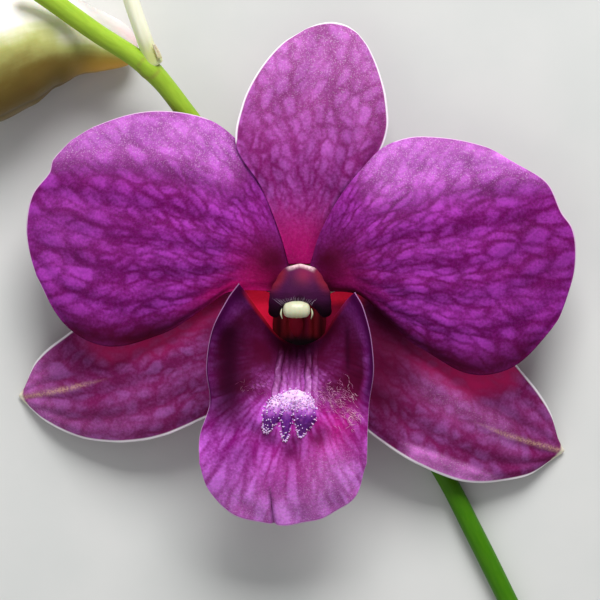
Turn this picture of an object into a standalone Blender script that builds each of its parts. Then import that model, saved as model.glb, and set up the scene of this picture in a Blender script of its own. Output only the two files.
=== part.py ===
"""Dendrobium orchid: one open bloom and the bud beside it, on a cut length of their flower stem.

The stem lies on a surface at z = 0 with the bloom facing up. +X is the bloom's right as seen
from the front, +Y its top, +Z the way it faces. Points are given from the bloom's own axis,
and the finished part is moved so that its origin is the middle of its footprint. Lengths in
this file are in millimetres and are turned into metres when a mesh is made.
"""

import math

import bmesh
import bpy
from mathutils import Matrix, Vector

MM = 0.001

# Driving sizes, in millimetres.
BLADE_THICKNESS = 0.7
BRACT_THICKNESS = 0.6
SEAT_GAP = 0.3
STEM_RADIUS = 1.3
NODE_SWELLING = 0.35
PEDICEL_RADIUS = 1.05
OVARY_RADIUS = 1.5
BUD_HALF_WIDTH = 7.3
BUD_HALF_DEPTH = 6.4
BUD_SEAM_DEPTH = 0.09
BUD_SHOULDER = 0.45
BUD_UPPER_SWELL = 0.32
RIB_HEIGHT = 0.16
KEEL_RADIUS = 0.4
MARGIN_WAVE = 0.28
ANTHER_CAP_SIZE = (2.0, 1.35, 1.1)

# Middle of the whole footprint, seen from the bloom's axis.
FOOTPRINT_MIDDLE = (-6.935, 1.98)

# Levels above the surface, in millimetres.
COLUMN_BASE_LEVEL = 9.4
COLUMN_TOP_LEVEL = 17.6
LIP_TOP_LEVEL = 20.4

# Grids, as faces across and along.
PETAL_GRID = (24, 16)
SEPAL_GRID = (16, 13)
LIP_GRID = (20, 19)
BRACT_GRID = (4, 5)

# The flower stem from its cut base, lower right, to its cut tip above the bud.
STEM_ROUTE = (
    (29.6, -43.4, 1.31), (24.2, -32.5, 1.31), (19.4, -23.4, 1.4), (9.6, -8.9, 1.7), (0.6, 3.9, 1.9),
    (-7.6, 14.6, 3.6), (-15.2, 25.3, 7.0), (-19.9, 32.0, 9.4), (-27.2, 36.7, 11.6),
    (-34.6, 41.0, 13.6), (-37.4, 42.7, 14.3),
)
BLOOM_NODE = (9.6, -8.9)
BUD_NODE = (-19.9, 32.0)

BUD_PEDICEL_ROUTE = (
    (-19.9, 32.0, 9.4), (-20.9, 35.0, 10.9), (-22.1, 38.4, 11.8), (-23.4, 42.0, 12.3), (-25.6, 45.2, 12.0),
    (-29.0, 46.9, 10.2), (-32.0, 46.0, 8.0), (-33.9, 43.6, 6.7), (-34.6, 40.5, 6.4),
)
BLOOM_PEDICEL_ROUTE = (
    (9.0, -8.0, 2.2), (8.0, -6.0, 4.0), (7.0, -4.4, 4.7), (5.4, -2.4, 4.9), (3.2, 0.4, 5.3), (1.5, 2.0, 6.1),
    (0.6, 2.6, 7.4), (0.4, 2.7, COLUMN_BASE_LEVEL - 0.7),
)

# Outlines of the floral leaves: points of each edge from base to tip, then the rounded end.
DORSAL_LEFT = (
    (-1.5, 4.8, 10.6), (-2.8, 9.2, 11.6), (-5.3, 15.3, 11.9), (-8.2, 20.5, 11.5),
    (-7.7, 26.5, 10.4), (-5.8, 30.5, 9.2), (-3.1, 34.0, 8.0), (0.7, 36.7, 7.2),
)
DORSAL_RIGHT = (
    (1.7, 4.8, 10.3), (3.0, 8.8, 10.2), (5.8, 13.5, 10.0), (9.4, 17.6, 9.9), (11.8, 23.0, 9.2),
    (11.5, 27.4, 8.5), (10.1, 31.5, 7.8), (6.9, 36.7, 7.0),
)
DORSAL_TIP = ((0.7, 36.7, 7.2), (3.2, 37.4, 7.0), (4.6, 37.7, 6.9), (6.9, 36.7, 7.0))
DORSAL_CROWN = (0.2, 0.4, 0.8, 1.0, 1.0, 0.8, 0.5, 0.0)

LEFT_PETAL_UPPER = (
    (-2.8, 4.2, 10.4), (-2.8, 7.4, 10.0), (-2.9, 11.6, 9.9), (-5.0, 17.2, 9.9), (-8.9, 21.9, 9.9),
    (-13.4, 24.7, 10.2), (-20.1, 25.5, 10.3), (-27.5, 23.5, 10.0), (-30.9, 21.6, 9.8),
)
LEFT_PETAL_LOWER = (
    (-2.9, 1.2, 10.5), (-9.5, 1.1, 11.0), (-13.6, -1.5, 11.2), (-18.6, -4.6, 11.2),
    (-25.7, -6.2, 10.6), (-31.6, -3.6, 9.8), (-35.6, 3.2, 9.4),
)
LEFT_PETAL_TIP = (
    (-30.9, 21.6, 9.8), (-33.4, 18.9, 9.6), (-33.9, 17.2, 9.5), (-36.2, 14.2, 9.2),
    (-37.0, 10.0, 9.1), (-36.6, 6.5, 9.2), (-35.6, 3.2, 9.4),
)
RIGHT_PETAL_UPPER = (
    (2.8, 4.2, 10.5), (3.6, 9.0, 12.0), (5.7, 13.6, 12.3), (7.7, 17.0, 12.2), (11.6, 20.7, 11.5),
    (16.7, 22.1, 10.9), (24.8, 20.7, 10.3), (28.9, 18.6, 10.0),
)
RIGHT_PETAL_LOWER = (
    (2.9, 1.2, 10.5), (7.7, 0.8, 11.0), (11.6, -2.3, 11.2), (15.5, -5.9, 11.0), (22.7, -9.9, 10.4),
    (29.2, -8.8, 9.8), (34.6, -3.1, 9.4), (35.9, -0.3, 9.3),
)
RIGHT_PETAL_TIP = (
    (28.9, 18.6, 10.0), (33.4, 15.8, 9.6), (35.4, 11.8, 9.4), (36.8, 9.8, 9.2), (37.3, 7.4, 9.1),
    (37.1, 3.8, 9.1), (35.9, -0.3, 9.3),
)
PETAL_CROWN = (0.0, 0.6, 1.6, 2.1, 2.2, 2.0, 1.4, 0.6)

LEFT_SEPAL_UPPER = (
    (-3.3, 0.6, 8.9), (-9.5, 3.0, 8.9), (-18.9, 2.2, 8.2), (-26.3, -0.9, 6.6), (-31.2, -4.5, 4.7),
    (-35.5, -8.2, 2.4), (-37.3, -12.2, 0.5),
)
LEFT_SEPAL_LOWER = (
    (-2.7, -7.6, 4.2), (-6.8, -12.6, 6.6), (-12.6, -15.9, 7.0), (-20.9, -19.0, 5.8),
    (-28.8, -18.9, 3.6), (-34.3, -16.3, 1.5), (-37.3, -13.6, 0.4),
)
LEFT_SEPAL_BASE = ((-3.3, 0.6, 8.9), (-3.7, -3.6, 7.0), (-2.7, -7.6, 4.2))
LEFT_SEPAL_TIP = ((-37.3, -12.2, 0.5), (-37.9, -12.9, 0.32), (-37.3, -13.6, 0.4))
RIGHT_SEPAL_UPPER = (
    (3.3, 0.6, 8.9), (9.5, 2.4, 8.9), (17.6, 0.9, 8.4), (24.3, -3.2, 7.0), (30.6, -10.5, 4.2),
    (33.9, -15.5, 2.0), (34.9, -19.8, 0.5),
)
RIGHT_SEPAL_LOWER = (
    (2.3, -7.6, 4.2), (5.2, -13.5, 6.6), (8.9, -17.6, 7.2), (15.7, -22.1, 6.4),
    (22.8, -24.6, 4.6), (30.2, -23.6, 2.0), (34.5, -21.3, 0.4),
)
RIGHT_SEPAL_BASE = ((3.3, 0.6, 8.9), (3.5, -3.6, 7.0), (2.3, -7.6, 4.2))
RIGHT_SEPAL_TIP = ((34.9, -19.8, 0.5), (35.6, -20.5, 0.32), (34.5, -21.3, 0.4))
LATERAL_CROWN = (0.0, 0.6, 1.4, 1.6, 1.2, 0.7, 0.1)

# The lip: a trough with two raised side lobes that opens into a broad middle lobe.
LIP_BACK = (
    (-8.1, 2.2, 19.2), (-7.2, 0.9, 17.2), (-5.2, -2.0, 13.6), (-2.8, -5.2, 10.1), (0.1, -6.4, 8.0),
    (3.0, -5.2, 10.1), (4.9, -2.1, 13.6), (6.5, 0.2, 17.2), (7.2, 1.0, 19.2),
)
LIP_LEFT = (
    (-8.1, 2.2, 19.2), (-9.6, 0.1, 20.0),
    (-11.6, -4.0, 20.4), (-12.4, -8.9, 19.6), (-12.0, -13.6, 17.0), (-13.4, -18.2, 15.2),
    (-13.5, -21.8, 14.0),
)
LIP_RIGHT = (
    (7.2, 1.0, 19.2), (8.3, -1.0, 20.0),
    (9.3, -4.6, 20.4), (9.7, -9.0, 19.6), (9.2, -13.8, 17.0), (9.0, -18.4, 15.2),
    (8.9, -21.8, 14.0),
)
LIP_FLOOR = (
    (0.1, -6.4, 8.0), (-0.1, -7.3, 9.1), (-0.3, -8.3, 10.3), (-0.5, -9.7, 11.7),
    (-0.8, -11.6, 13.0), (-1.0, -13.8, 14.2), (-1.3, -16.8, 15.4), (-1.7, -20.6, 15.6),
    (-2.0, -24.0, 14.9),
)
LIP_END = (
    (-13.5, -21.8, 14.0), (-12.2, -25.6, 12.6), (-8.6, -29.0, 11.2), (-2.6, -30.3, 11.2),
    (2.8, -29.4, 11.2), (7.4, -26.4, 12.6), (8.9, -21.8, 14.0),
)
LIP_WALL = (0.7, 0.8, 0.9, 0.8, 0.5, 0.2, 0.0, 0.0)

# Keels and crest fingers, as lines in plan that are dropped onto the lip.
KEEL_OFFSETS = (-2.6, -1.3, 0.0, 1.3, 2.6)
KEEL_START = (0.0, -7.0)
KEEL_END = (-1.3, -13.6)
CREST_TOP = (-1.4, -12.8)
CREST_FINGERS = ((-4.3, -17.4), (-1.9, -18.6), (0.9, -17.8))
CREST_LIFT = 0.9
KEEL_LIFT = 0.17

COLUMN_ROUTE = ((0.0, 2.3, COLUMN_BASE_LEVEL), (0.0, 1.8, 12.2), (0.0, 0.9, COLUMN_TOP_LEVEL))
FOOT_ROUTE = ((0.0, 1.4, 11.0), (0.0, -1.6, 8.3), (-0.2, -4.8, 5.4), (-0.2, -7.8, 2.2))
CAP_PLACE = (-0.5, -1.5, 16.7)

BUD_ROUTE = (
    (-22.4, 33.4, 2.5), (-27.0, 34.8, 3.3), (-31.6, 35.3, 4.6), (-36.5, 34.3, 6.1),
    (-42.1, 31.2, 6.9), (-49.6, 24.8, 6.4),
)
BUD_WIDTHS = (0.65, 0.7, 0.85, 1.0, 1.07, 0.98)
BUD_SEAMS = (0.75, 2.85, 4.75)


def clear_scene():
    """Remove every object of the open scene."""
    for item in list(bpy.data.objects):
        bpy.data.objects.remove(item, do_unlink=True)


def material(name, colour, roughness):
    """Plain Principled material in one colour."""
    finish = bpy.data.materials.new(name)
    finish.use_nodes = True
    shader = finish.node_tree.nodes["Principled BSDF"]
    shader.inputs["Base Color"].default_value = (*colour, 1.0)
    shader.inputs["Roughness"].default_value = roughness
    shader.inputs["Metallic"].default_value = 0.0
    return finish


def add_object(name, mesh, finish):
    """Link a mesh as a named object with its material."""
    for polygon in mesh.polygons:
        polygon.use_smooth = True
    mesh.set_sharp_from_angle(angle=math.radians(50))
    item = bpy.data.objects.new(name, mesh)
    item.data.materials.append(finish)
    bpy.context.collection.objects.link(item)
    return item


def smooth_path(points, steps):
    """Evenly spaced points along a smooth curve that passes through the given points."""
    knots = [Vector(point) for point in points]
    spans = [(b - a).length for a, b in zip(knots, knots[1:])]
    slopes = [(knots[1] - knots[0]) / spans[0]]
    for index in range(1, len(knots) - 1):
        slopes.append((knots[index + 1] - knots[index - 1]) / (spans[index - 1] + spans[index]))
    slopes.append((knots[-1] - knots[-2]) / spans[-1])
    dense = []
    for index, span in enumerate(spans):
        start, end = knots[index], knots[index + 1]
        for part in range(16):
            t = part / 16
            dense.append(
                start * (2 * t**3 - 3 * t**2 + 1)
                + slopes[index] * span * (t**3 - 2 * t**2 + t)
                + end * (3 * t**2 - 2 * t**3)
                + slopes[index + 1] * span * (t**3 - t**2)
            )
    dense.append(knots[-1])
    reached = [0.0]
    for a, b in zip(dense, dense[1:]):
        reached.append(reached[-1] + (b - a).length)
    path = []
    cursor = 0
    for step in range(steps + 1):
        target = reached[-1] * step / steps
        while cursor < len(dense) - 2 and reached[cursor + 1] < target:
            cursor += 1
        share = (target - reached[cursor]) / (reached[cursor + 1] - reached[cursor])
        path.append(dense[cursor].lerp(dense[cursor + 1], min(max(share, 0.0), 1.0)))
    return path


def read_profile(values, t):
    """Value at t, from 0 to 1, of a profile given at even steps."""
    place = min(max(t, 0.0), 1.0) * (len(values) - 1)
    index = min(int(place), len(values) - 2)
    share = place - index
    eased = share * share * (3 - 2 * share)
    return values[index] * (1 - eased) + values[index + 1] * eased


def ribs(count, waves=0.0):
    """Low ribs from base to tip that fade towards both ends, and a slow wave along the margins."""
    def height(across, along):
        fade = min(along / 0.12, 1.0) * min((1 - along) / 0.2, 1.0)
        rib = RIB_HEIGHT * (1 - across**4) * math.cos(math.pi * count * across)
        wave = MARGIN_WAVE * across**4 * math.sin(2 * math.pi * waves * along + 2 * across)
        return fade * (rib + wave)
    return height


def sheet(left, right, grid, middle=None, crown=(0, 0), base=None, end=None, wall=(0, 0), relief=None):
    """Curved sheet of triangles between two edges, over a middle line, with shaped ends.

    crown raises the middle line above the edges. wall goes from 0, a shallow bow across, to 1,
    a trough with upright sides.
    """
    across, along = grid
    left_path = smooth_path(left, along)
    right_path = smooth_path(right, along)
    if middle:
        middle_path = smooth_path(middle, along)
    else:
        middle_path = [a.lerp(b, 0.5) for a, b in zip(left_path, right_path)]
        for row, point in enumerate(middle_path):
            point.z += read_profile(crown, row / along)

    bm = bmesh.new()
    bmesh.ops.create_grid(bm, x_segments=across, y_segments=along, size=1.0)
    bm.verts.ensure_lookup_table()
    spots = {}
    for vert in bm.verts:
        column = round((vert.co.x + 1) / 2 * across)
        row = round((vert.co.y + 1) / 2 * along)
        spots[vert] = (column, row)

    def bowed(column, row):
        place = 2 * column / across - 1
        reach = abs(place)
        edge = left_path[row] if place < 0 else right_path[row]
        centre = middle_path[row]
        steep = read_profile(wall, row / along)
        sideways = reach * (1 - steep) + math.sin(reach * math.pi / 2) * steep
        upwards = reach**2 * (1 - steep) + (1 - math.cos(reach * math.pi / 2)) * steep
        point = centre.lerp(edge, sideways)
        point.z = centre.z + (edge.z - centre.z) * upwards
        return point

    base_shift = end_shift = None
    if base:
        base_shift = [b - bowed(i, 0) for i, b in enumerate(smooth_path(base, across))]
    if end:
        end_shift = [e - bowed(i, along) for i, e in enumerate(smooth_path(end, across))]
    for vert, (column, row) in spots.items():
        point = bowed(column, row)
        t = row / along
        if base_shift:
            point += base_shift[column] * (1 - t) ** 4
        if end_shift:
            point += end_shift[column] * t**4
        vert.co = point
    bm.normal_update()
    if sum(vert.normal.z for vert in bm.verts) < 0:
        bmesh.ops.reverse_faces(bm, faces=bm.faces)
        bm.normal_update()
    if relief:
        lifts = {}
        for vert, (column, row) in spots.items():
            lifts[vert] = vert.normal * relief(2 * column / across - 1, row / along)
        for vert, lift in lifts.items():
            vert.co += lift
    bmesh.ops.triangulate(bm, faces=bm.faces)
    return bm


def finish_mesh(name, bm):
    """Turn a bmesh in millimetres into a mesh in metres."""
    bmesh.ops.transform(bm, matrix=Matrix.Scale(MM, 4), verts=bm.verts)
    mesh = bpy.data.meshes.new(name)
    bm.to_mesh(mesh)
    bm.free()
    return mesh


def blade(name, finish, thickness=BLADE_THICKNESS, **shape):
    """Floral leaf: a curved sheet given its thickness to both sides."""
    item = add_object(name, finish_mesh(name, sheet(**shape)), finish)
    solid = item.modifiers.new("thickness", "SOLIDIFY")
    solid.thickness = thickness * MM
    solid.offset = 0.0
    solid.use_even_offset = False
    return item


def pod(name, finish, route, widths, depths, reference, grid=(20, 12), shape=None, floor=None):
    """Rounded body along a route, closed at both ends, from a sphere's own vertices.

    widths and depths are half sizes along the route; depth is measured towards reference.
    shape scales the radius by angle and place, and floor cuts off flat what reaches below it.
    """
    sides, rings = grid
    path = smooth_path(route, 64)
    bm = bmesh.new()
    bmesh.ops.create_uvsphere(bm, u_segments=sides, v_segments=rings, radius=1.0)
    for vert in bm.verts:
        polar = math.acos(min(max(vert.co.z, -1.0), 1.0))
        angle = math.atan2(vert.co.y, vert.co.x)
        t = (1 - math.cos(polar)) / 2
        index = min(int(t * 64), 63)
        centre = path[index].lerp(path[index + 1], t * 64 - index)
        tangent = (path[min(index + 2, 64)] - path[max(index - 1, 0)]).normalized()
        depth_axis = (Vector(reference) - tangent * tangent.dot(Vector(reference))).normalized()
        width_axis = tangent.cross(depth_axis)
        round_off = math.sin(polar)
        if shape:
            round_off *= shape(angle, t)
        width = read_profile(widths, t) * round_off * math.cos(angle)
        depth = read_profile(depths, t) * round_off * math.sin(angle)
        vert.co = centre + width_axis * width + depth_axis * depth
    if floor is not None:
        everything = bm.verts[:] + bm.edges[:] + bm.faces[:]
        bmesh.ops.bisect_plane(
            bm, geom=everything, plane_co=(0, 0, floor), plane_no=(0, 0, 1), clear_inner=True,
        )
        rim = [edge for edge in bm.edges if edge.is_boundary]
        bmesh.ops.holes_fill(bm, edges=rim)
    return add_object(name, finish_mesh(name, bm), finish)


def stalk(name, finish, route, radius, steps, swellings=(), bevel_resolution=4):
    """Round stalk along a smooth route; each swelling is its place, its extra size and its reach."""
    curve = bpy.data.curves.new(name, "CURVE")
    curve.dimensions = "3D"
    curve.bevel_depth = MM
    curve.bevel_resolution = bevel_resolution
    curve.use_fill_caps = True
    path = smooth_path(route, steps)
    spline = curve.splines.new("POLY")
    spline.points.add(len(path) - 1)
    for point, place in zip(spline.points, path):
        point.co = (*(place * MM), 1.0)
        point.radius = radius
        for spot, extra, reach in swellings:
            point.radius += extra * math.exp(-(((place.xy - Vector(spot)).length / reach) ** 2))
    guide = bpy.data.objects.new(name + "_guide", curve)
    bpy.context.collection.objects.link(guide)
    graph = bpy.context.evaluated_depsgraph_get()
    bm = bmesh.new()
    bm.from_mesh(bpy.data.meshes.new_from_object(guide.evaluated_get(graph)))
    bmesh.ops.remove_doubles(bm, verts=bm.verts, dist=0.001 * MM)
    mesh = bpy.data.meshes.new(name)
    bm.to_mesh(mesh)
    bm.free()
    bpy.data.objects.remove(guide, do_unlink=True)
    return add_object(name, mesh, finish)


def apply_modifiers(item):
    """Make an object's evaluated mesh its own."""
    graph = bpy.context.evaluated_depsgraph_get()
    mesh = bpy.data.meshes.new_from_object(item.evaluated_get(graph))
    item.modifiers.clear()
    item.data = mesh


def combine(item, others, operation):
    """Join or cut an object with others in one Boolean, then remove the others."""
    group = bpy.data.collections.new(item.name + "_" + operation.lower())
    bpy.context.scene.collection.children.link(group)
    for other in others:
        bpy.context.collection.objects.unlink(other)
        group.objects.link(other)
    boolean = item.modifiers.new(operation.lower(), "BOOLEAN")
    boolean.operation = operation
    boolean.operand_type = "COLLECTION"
    boolean.collection = group
    boolean.solver = "EXACT"
    apply_modifiers(item)
    for other in others:
        bpy.data.objects.remove(other, do_unlink=True)
    bpy.data.collections.remove(group)


def stem_stalk(name, finish, grow):
    """The flower stem, or with some growth the cutter that seats a pedicel on it."""
    swellings = [(BLOOM_NODE, NODE_SWELLING, 2.2), (BUD_NODE, NODE_SWELLING, 2.4)]
    return stalk(name, finish, STEM_ROUTE, STEM_RADIUS + grow, 34, swellings)


def bud_pod(name, finish, grow):
    """The closed bud, seamed and shouldered, or with some growth the cutter for its pedicel's seat."""
    def shape(angle, t):
        dip = 0.0
        for seam in BUD_SEAMS:
            turn = (angle - seam + math.pi) % (2 * math.pi) - math.pi
            dip += BUD_SEAM_DEPTH * math.exp(-((turn / 0.2) ** 2))
        shoulder = BUD_SHOULDER * math.exp(-(((angle - 0.2) / 0.8) ** 2) - (t / 0.12) ** 2)
        swell = BUD_UPPER_SWELL * (1 + math.cos(angle)) / 2 * min(t * 2, 1.0)
        return 1 + shoulder + swell - dip * min(t * 2.5, 1.0)

    widths = [share * BUD_HALF_WIDTH + grow for share in BUD_WIDTHS]
    depths = [share * BUD_HALF_DEPTH + grow for share in BUD_WIDTHS]
    return pod(name, finish, BUD_ROUTE, widths, depths, (0, 0, 1), (24, 14), shape, floor=0.0)


def pedicel(name, finish, route, steps, swellings=(), seats=()):
    """Slim stalk from inside the stem, cut to sit on the stem's round side and on other seats."""
    item = stalk(name, finish, route, PEDICEL_RADIUS, steps, swellings, bevel_resolution=3)
    cutters = [stem_stalk(name + "_seat", finish, SEAT_GAP), *seats]
    combine(item, cutters, "DIFFERENCE")


def make_stem(green, scale_green):
    """Flower stem with its two nodes, and the small bract at each."""
    stem_stalk("flower_stem", green, 0.0)
    blade(
        "bud_bract", scale_green, BRACT_THICKNESS, grid=BRACT_GRID,
        left=((-18.95, 33.0, 11.35), (-19.25, 33.9, 11.7), (-19.7, 34.9, 12.1)),
        right=((-18.45, 33.1, 10.7), (-18.8, 34.0, 11.0), (-19.4, 34.9, 11.7)),
    )
    blade(
        "bloom_bract", scale_green, BRACT_THICKNESS, grid=BRACT_GRID,
        left=((7.9, -9.8, 3.2), (6.5, -7.7, 3.5), (5.8, -5.4, 3.8)),
        right=((7.0, -9.3, 1.6), (5.7, -7.3, 2.2), (5.4, -5.4, 3.2)),
    )


def make_bud(cream, bud_green):
    """Closed bud with its blunt chin and sepal seams, on its own pedicel."""
    bud_pod("bud", bud_green, 0.0)
    seat = bud_pod("bud_seat", bud_green, SEAT_GAP)
    pedicel("bud_pedicel", cream, BUD_PEDICEL_ROUTE, 18, seats=[seat])


def make_sepals(mauve):
    """Upright dorsal sepal and the two pointed lateral sepals, swept back to the surface."""
    blade(
        "dorsal_sepal", mauve, grid=SEPAL_GRID, left=DORSAL_LEFT, right=DORSAL_RIGHT,
        end=DORSAL_TIP, crown=DORSAL_CROWN, relief=ribs(5, 1.5),
    )
    blade(
        "left_lateral_sepal", mauve, grid=SEPAL_GRID, left=LEFT_SEPAL_UPPER,
        right=LEFT_SEPAL_LOWER, base=LEFT_SEPAL_BASE, end=LEFT_SEPAL_TIP,
        crown=LATERAL_CROWN, relief=ribs(5, 2.0),
    )
    blade(
        "right_lateral_sepal", mauve, grid=SEPAL_GRID, left=RIGHT_SEPAL_UPPER,
        right=RIGHT_SEPAL_LOWER, base=RIGHT_SEPAL_BASE, end=RIGHT_SEPAL_TIP,
        crown=LATERAL_CROWN, relief=ribs(5, 2.0),
    )


def make_petals(purple):
    """The two broad round petals in front of the sepals."""
    blade(
        "left_petal", purple, grid=PETAL_GRID, left=LEFT_PETAL_UPPER, right=LEFT_PETAL_LOWER,
        end=LEFT_PETAL_TIP, crown=PETAL_CROWN, relief=ribs(7, 3.0),
    )
    blade(
        "right_petal", purple, grid=PETAL_GRID, left=RIGHT_PETAL_UPPER, right=RIGHT_PETAL_LOWER,
        end=RIGHT_PETAL_TIP, crown=PETAL_CROWN, relief=ribs(7, 3.0),
    )


def make_lip(magenta):
    """Lip with its raised side lobes, its keels and its furry crest, grown as one."""
    lip = blade(
        "lip", magenta, grid=LIP_GRID, left=LIP_LEFT, right=LIP_RIGHT, middle=LIP_FLOOR,
        base=LIP_BACK, end=LIP_END, wall=LIP_WALL,
    )
    apply_modifiers(lip)

    def on_lip(start, end, share, lift):
        spot = Vector(start).lerp(Vector(end), share).to_3d()
        spot.z = 2 * LIP_TOP_LEVEL
        found, place, normal, _ = lip.ray_cast(spot * MM, (0, 0, -1))
        if not found:
            raise RuntimeError("a keel or crest finger misses the lip")
        return place / MM + normal * lift

    def furry(angle, t):
        return 1 + 0.16 * math.cos(5 * angle) * math.cos(9 * math.pi * t)

    routes = []
    for offset in KEEL_OFFSETS:
        start = (KEEL_START[0] + 0.8 * offset, KEEL_START[1])
        end = (KEEL_END[0] + offset, KEEL_END[1])
        routes.append([on_lip(start, end, share, KEEL_LIFT) for share in (0, 0.35, 0.7, 1)])
    added = []
    for index, route in enumerate(routes):
        keel = pod(
            f"keel_{index}", magenta, route, (KEEL_RADIUS,) * 2, (1.5 * KEEL_RADIUS,) * 2,
            reference=(0.07, 0.5, 1), grid=(7, 7),
        )
        added.append(keel)
    for index, finger in enumerate(CREST_FINGERS):
        lifts = (0.2, CREST_LIFT, CREST_LIFT)
        route = [on_lip(CREST_TOP, finger, share, lift) for share, lift in zip((0, 0.5, 1), lifts)]
        crest = pod(
            f"crest_{index}", magenta, route, (1.5, 1.7, 1.0), (1.2, 1.3, 0.9),
            reference=(0, 0, 1), grid=(10, 9), shape=furry,
        )
        added.append(crest)
    combine(lip, added, "UNION")


def make_column(maroon, cream):
    """Short hooded column with its foot behind, and the anther cap in its notch."""
    column = pod(
        "column", maroon, COLUMN_ROUTE, (2.3, 2.7, 4.3, 5.0, 4.8), (1.9, 2.1, 3.1, 3.7, 3.5),
        reference=(0, 1, 0), grid=(20, 14),
    )
    foot = pod(
        "foot", maroon, FOOT_ROUTE, (1.8, 2.1, 2.2, 1.9), (2.2, 2.7, 2.7, 2.2),
        reference=(1, 0, 0), grid=(14, 10),
    )
    combine(column, [foot], "UNION")

    def cap_body(name, grow):
        half = [size + grow for size in ANTHER_CAP_SIZE]
        x, y, z = CAP_PLACE
        route = ((x - half[0], y, z), (x + half[0], y, z))
        return pod(name, cream, route, (half[1],) * 2, (half[2],) * 2, (0, 0, 1), grid=(12, 10))

    cutter = cap_body("cap_seat", SEAT_GAP)
    combine(column, [cutter], "DIFFERENCE")
    cap_body("anther_cap", 0.0)


def move_to_frame():
    """Move every mesh so that the origin is the middle of the footprint."""
    x, y = FOOTPRINT_MIDDLE
    shift = Matrix.Translation(Vector((-x, -y, 0.0)) * MM)
    for item in bpy.context.scene.objects:
        item.data.transform(shift)


def main():
    clear_scene()
    green = material("stem_green", (0.16, 0.36, 0.04), 0.45)
    scale_green = material("bract_pale_green", (0.62, 0.66, 0.36), 0.6)
    cream = material("pedicel_cream", (0.78, 0.74, 0.42), 0.5)
    bud_green = material("bud_cream_green", (0.62, 0.60, 0.32), 0.5)
    mauve = material("sepal_mauve", (0.42, 0.06, 0.24), 0.55)
    purple = material("petal_purple", (0.27, 0.02, 0.24), 0.55)
    magenta = material("lip_magenta", (0.34, 0.01, 0.24), 0.5)
    maroon = material("column_maroon", (0.10, 0.01, 0.07), 0.4)
    cap_cream = material("cap_cream", (0.72, 0.74, 0.52), 0.4)

    make_stem(green, scale_green)
    make_bud(cream, bud_green)
    ovary = [((0.4, 2.7), OVARY_RADIUS - PEDICEL_RADIUS, 2.0)]
    pedicel("bloom_pedicel_ovary", mauve, BLOOM_PEDICEL_ROUTE, 14, ovary)
    make_sepals(mauve)
    make_petals(purple)
    make_lip(magenta)
    make_column(maroon, cap_cream)
    move_to_frame()


main()
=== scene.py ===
"""Dendrobium orchid: the detailed bloom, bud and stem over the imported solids, and its stage.

Points are given in millimetres from the bloom's own axis, as in the part's source, and moved
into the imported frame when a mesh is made. +X is the bloom's right as seen from the front,
+Y its top, +Z the way it faces.
"""

import math

import bmesh
import bpy
import numpy as np
from bpy.props import FloatProperty, FloatVectorProperty, IntProperty, PointerProperty
from mathutils import Matrix, Vector


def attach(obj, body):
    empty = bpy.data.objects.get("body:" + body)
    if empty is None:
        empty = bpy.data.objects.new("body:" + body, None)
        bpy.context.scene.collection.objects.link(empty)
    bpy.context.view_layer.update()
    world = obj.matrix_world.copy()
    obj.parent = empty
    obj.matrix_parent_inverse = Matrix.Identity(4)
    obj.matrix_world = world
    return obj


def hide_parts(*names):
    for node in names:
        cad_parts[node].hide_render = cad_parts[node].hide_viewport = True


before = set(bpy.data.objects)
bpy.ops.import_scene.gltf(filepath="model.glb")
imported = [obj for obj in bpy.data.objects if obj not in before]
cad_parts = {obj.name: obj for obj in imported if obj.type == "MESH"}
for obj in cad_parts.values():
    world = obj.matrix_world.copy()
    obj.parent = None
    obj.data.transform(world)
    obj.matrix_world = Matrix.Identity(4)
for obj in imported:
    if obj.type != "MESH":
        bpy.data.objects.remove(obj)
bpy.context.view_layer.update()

bl_info = {
    "name": "Dendrobium Orchid",
    "version": (1, 0, 0),
    "blender": (4, 5, 0),
    "location": "3D View > Sidebar > Orchid",
    "description": "Builds a dendrobium bloom with its bud and stem over the packed solids",
    "category": "Object",
}

MM = 0.001
BLOOM_AXIS = np.array((6.935, -1.98, 0.0))

# Points worked out between two knots of a curve, and along a whole pod; mean of the vein net.
KNOT_STEPS = 24
ROUTE_STEPS = 128
NET_MEAN = 0.42

# Floral leaves: points of each edge from base to tip, then the rounded end. crown raises the
# middle, wall says how upright the sides stand, and margin thins the rim. ribs are their number
# and the margin's waves, grid the columns and rows of faces, and fan the root, the heading in
# degrees, the turns and the steps of the vein net.
DORSAL_SEPAL = {
    "left": (
        (-1.5, 4.8, 10.6), (-2.8, 9.2, 11.3), (-5.3, 15.3, 11.5), (-8.6, 20.8, 11.2),
        (-7.8, 26.5, 10.3), (-5.7, 30.9, 9.2), (-2.6, 34.6, 8.0), (0.8, 36.8, 7.2),
    ),
    "right": (
        (1.7, 4.8, 10.3), (3.0, 8.8, 10.2), (5.8, 13.5, 10.0), (9.4, 17.6, 9.9),
        (11.7, 22.6, 9.2), (11.6, 27.2, 8.5), (10.7, 31.2, 7.8), (9.4, 34.2, 7.3),
        (7.9, 36.2, 7.0),
    ),
    "end": (
        (0.8, 36.8, 7.2), (2.4, 37.45, 7.05), (4.3, 37.75, 6.95), (6.3, 37.3, 6.95),
        (7.9, 36.2, 7.0),
    ),
    "crown": (0.2, 0.4, 0.8, 1.0, 1.0, 0.8, 0.5, 0.0),
    "ribs": (5, 1.5),
    "grid": (100, 150),
    "fan": ((1.2, -6.0), 86, 19.0, 4.4),
    "seed": 37,
}
PETAL_CROWN = (0.0, 0.6, 1.6, 2.1, 2.2, 2.0, 1.4, 0.6)
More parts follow.
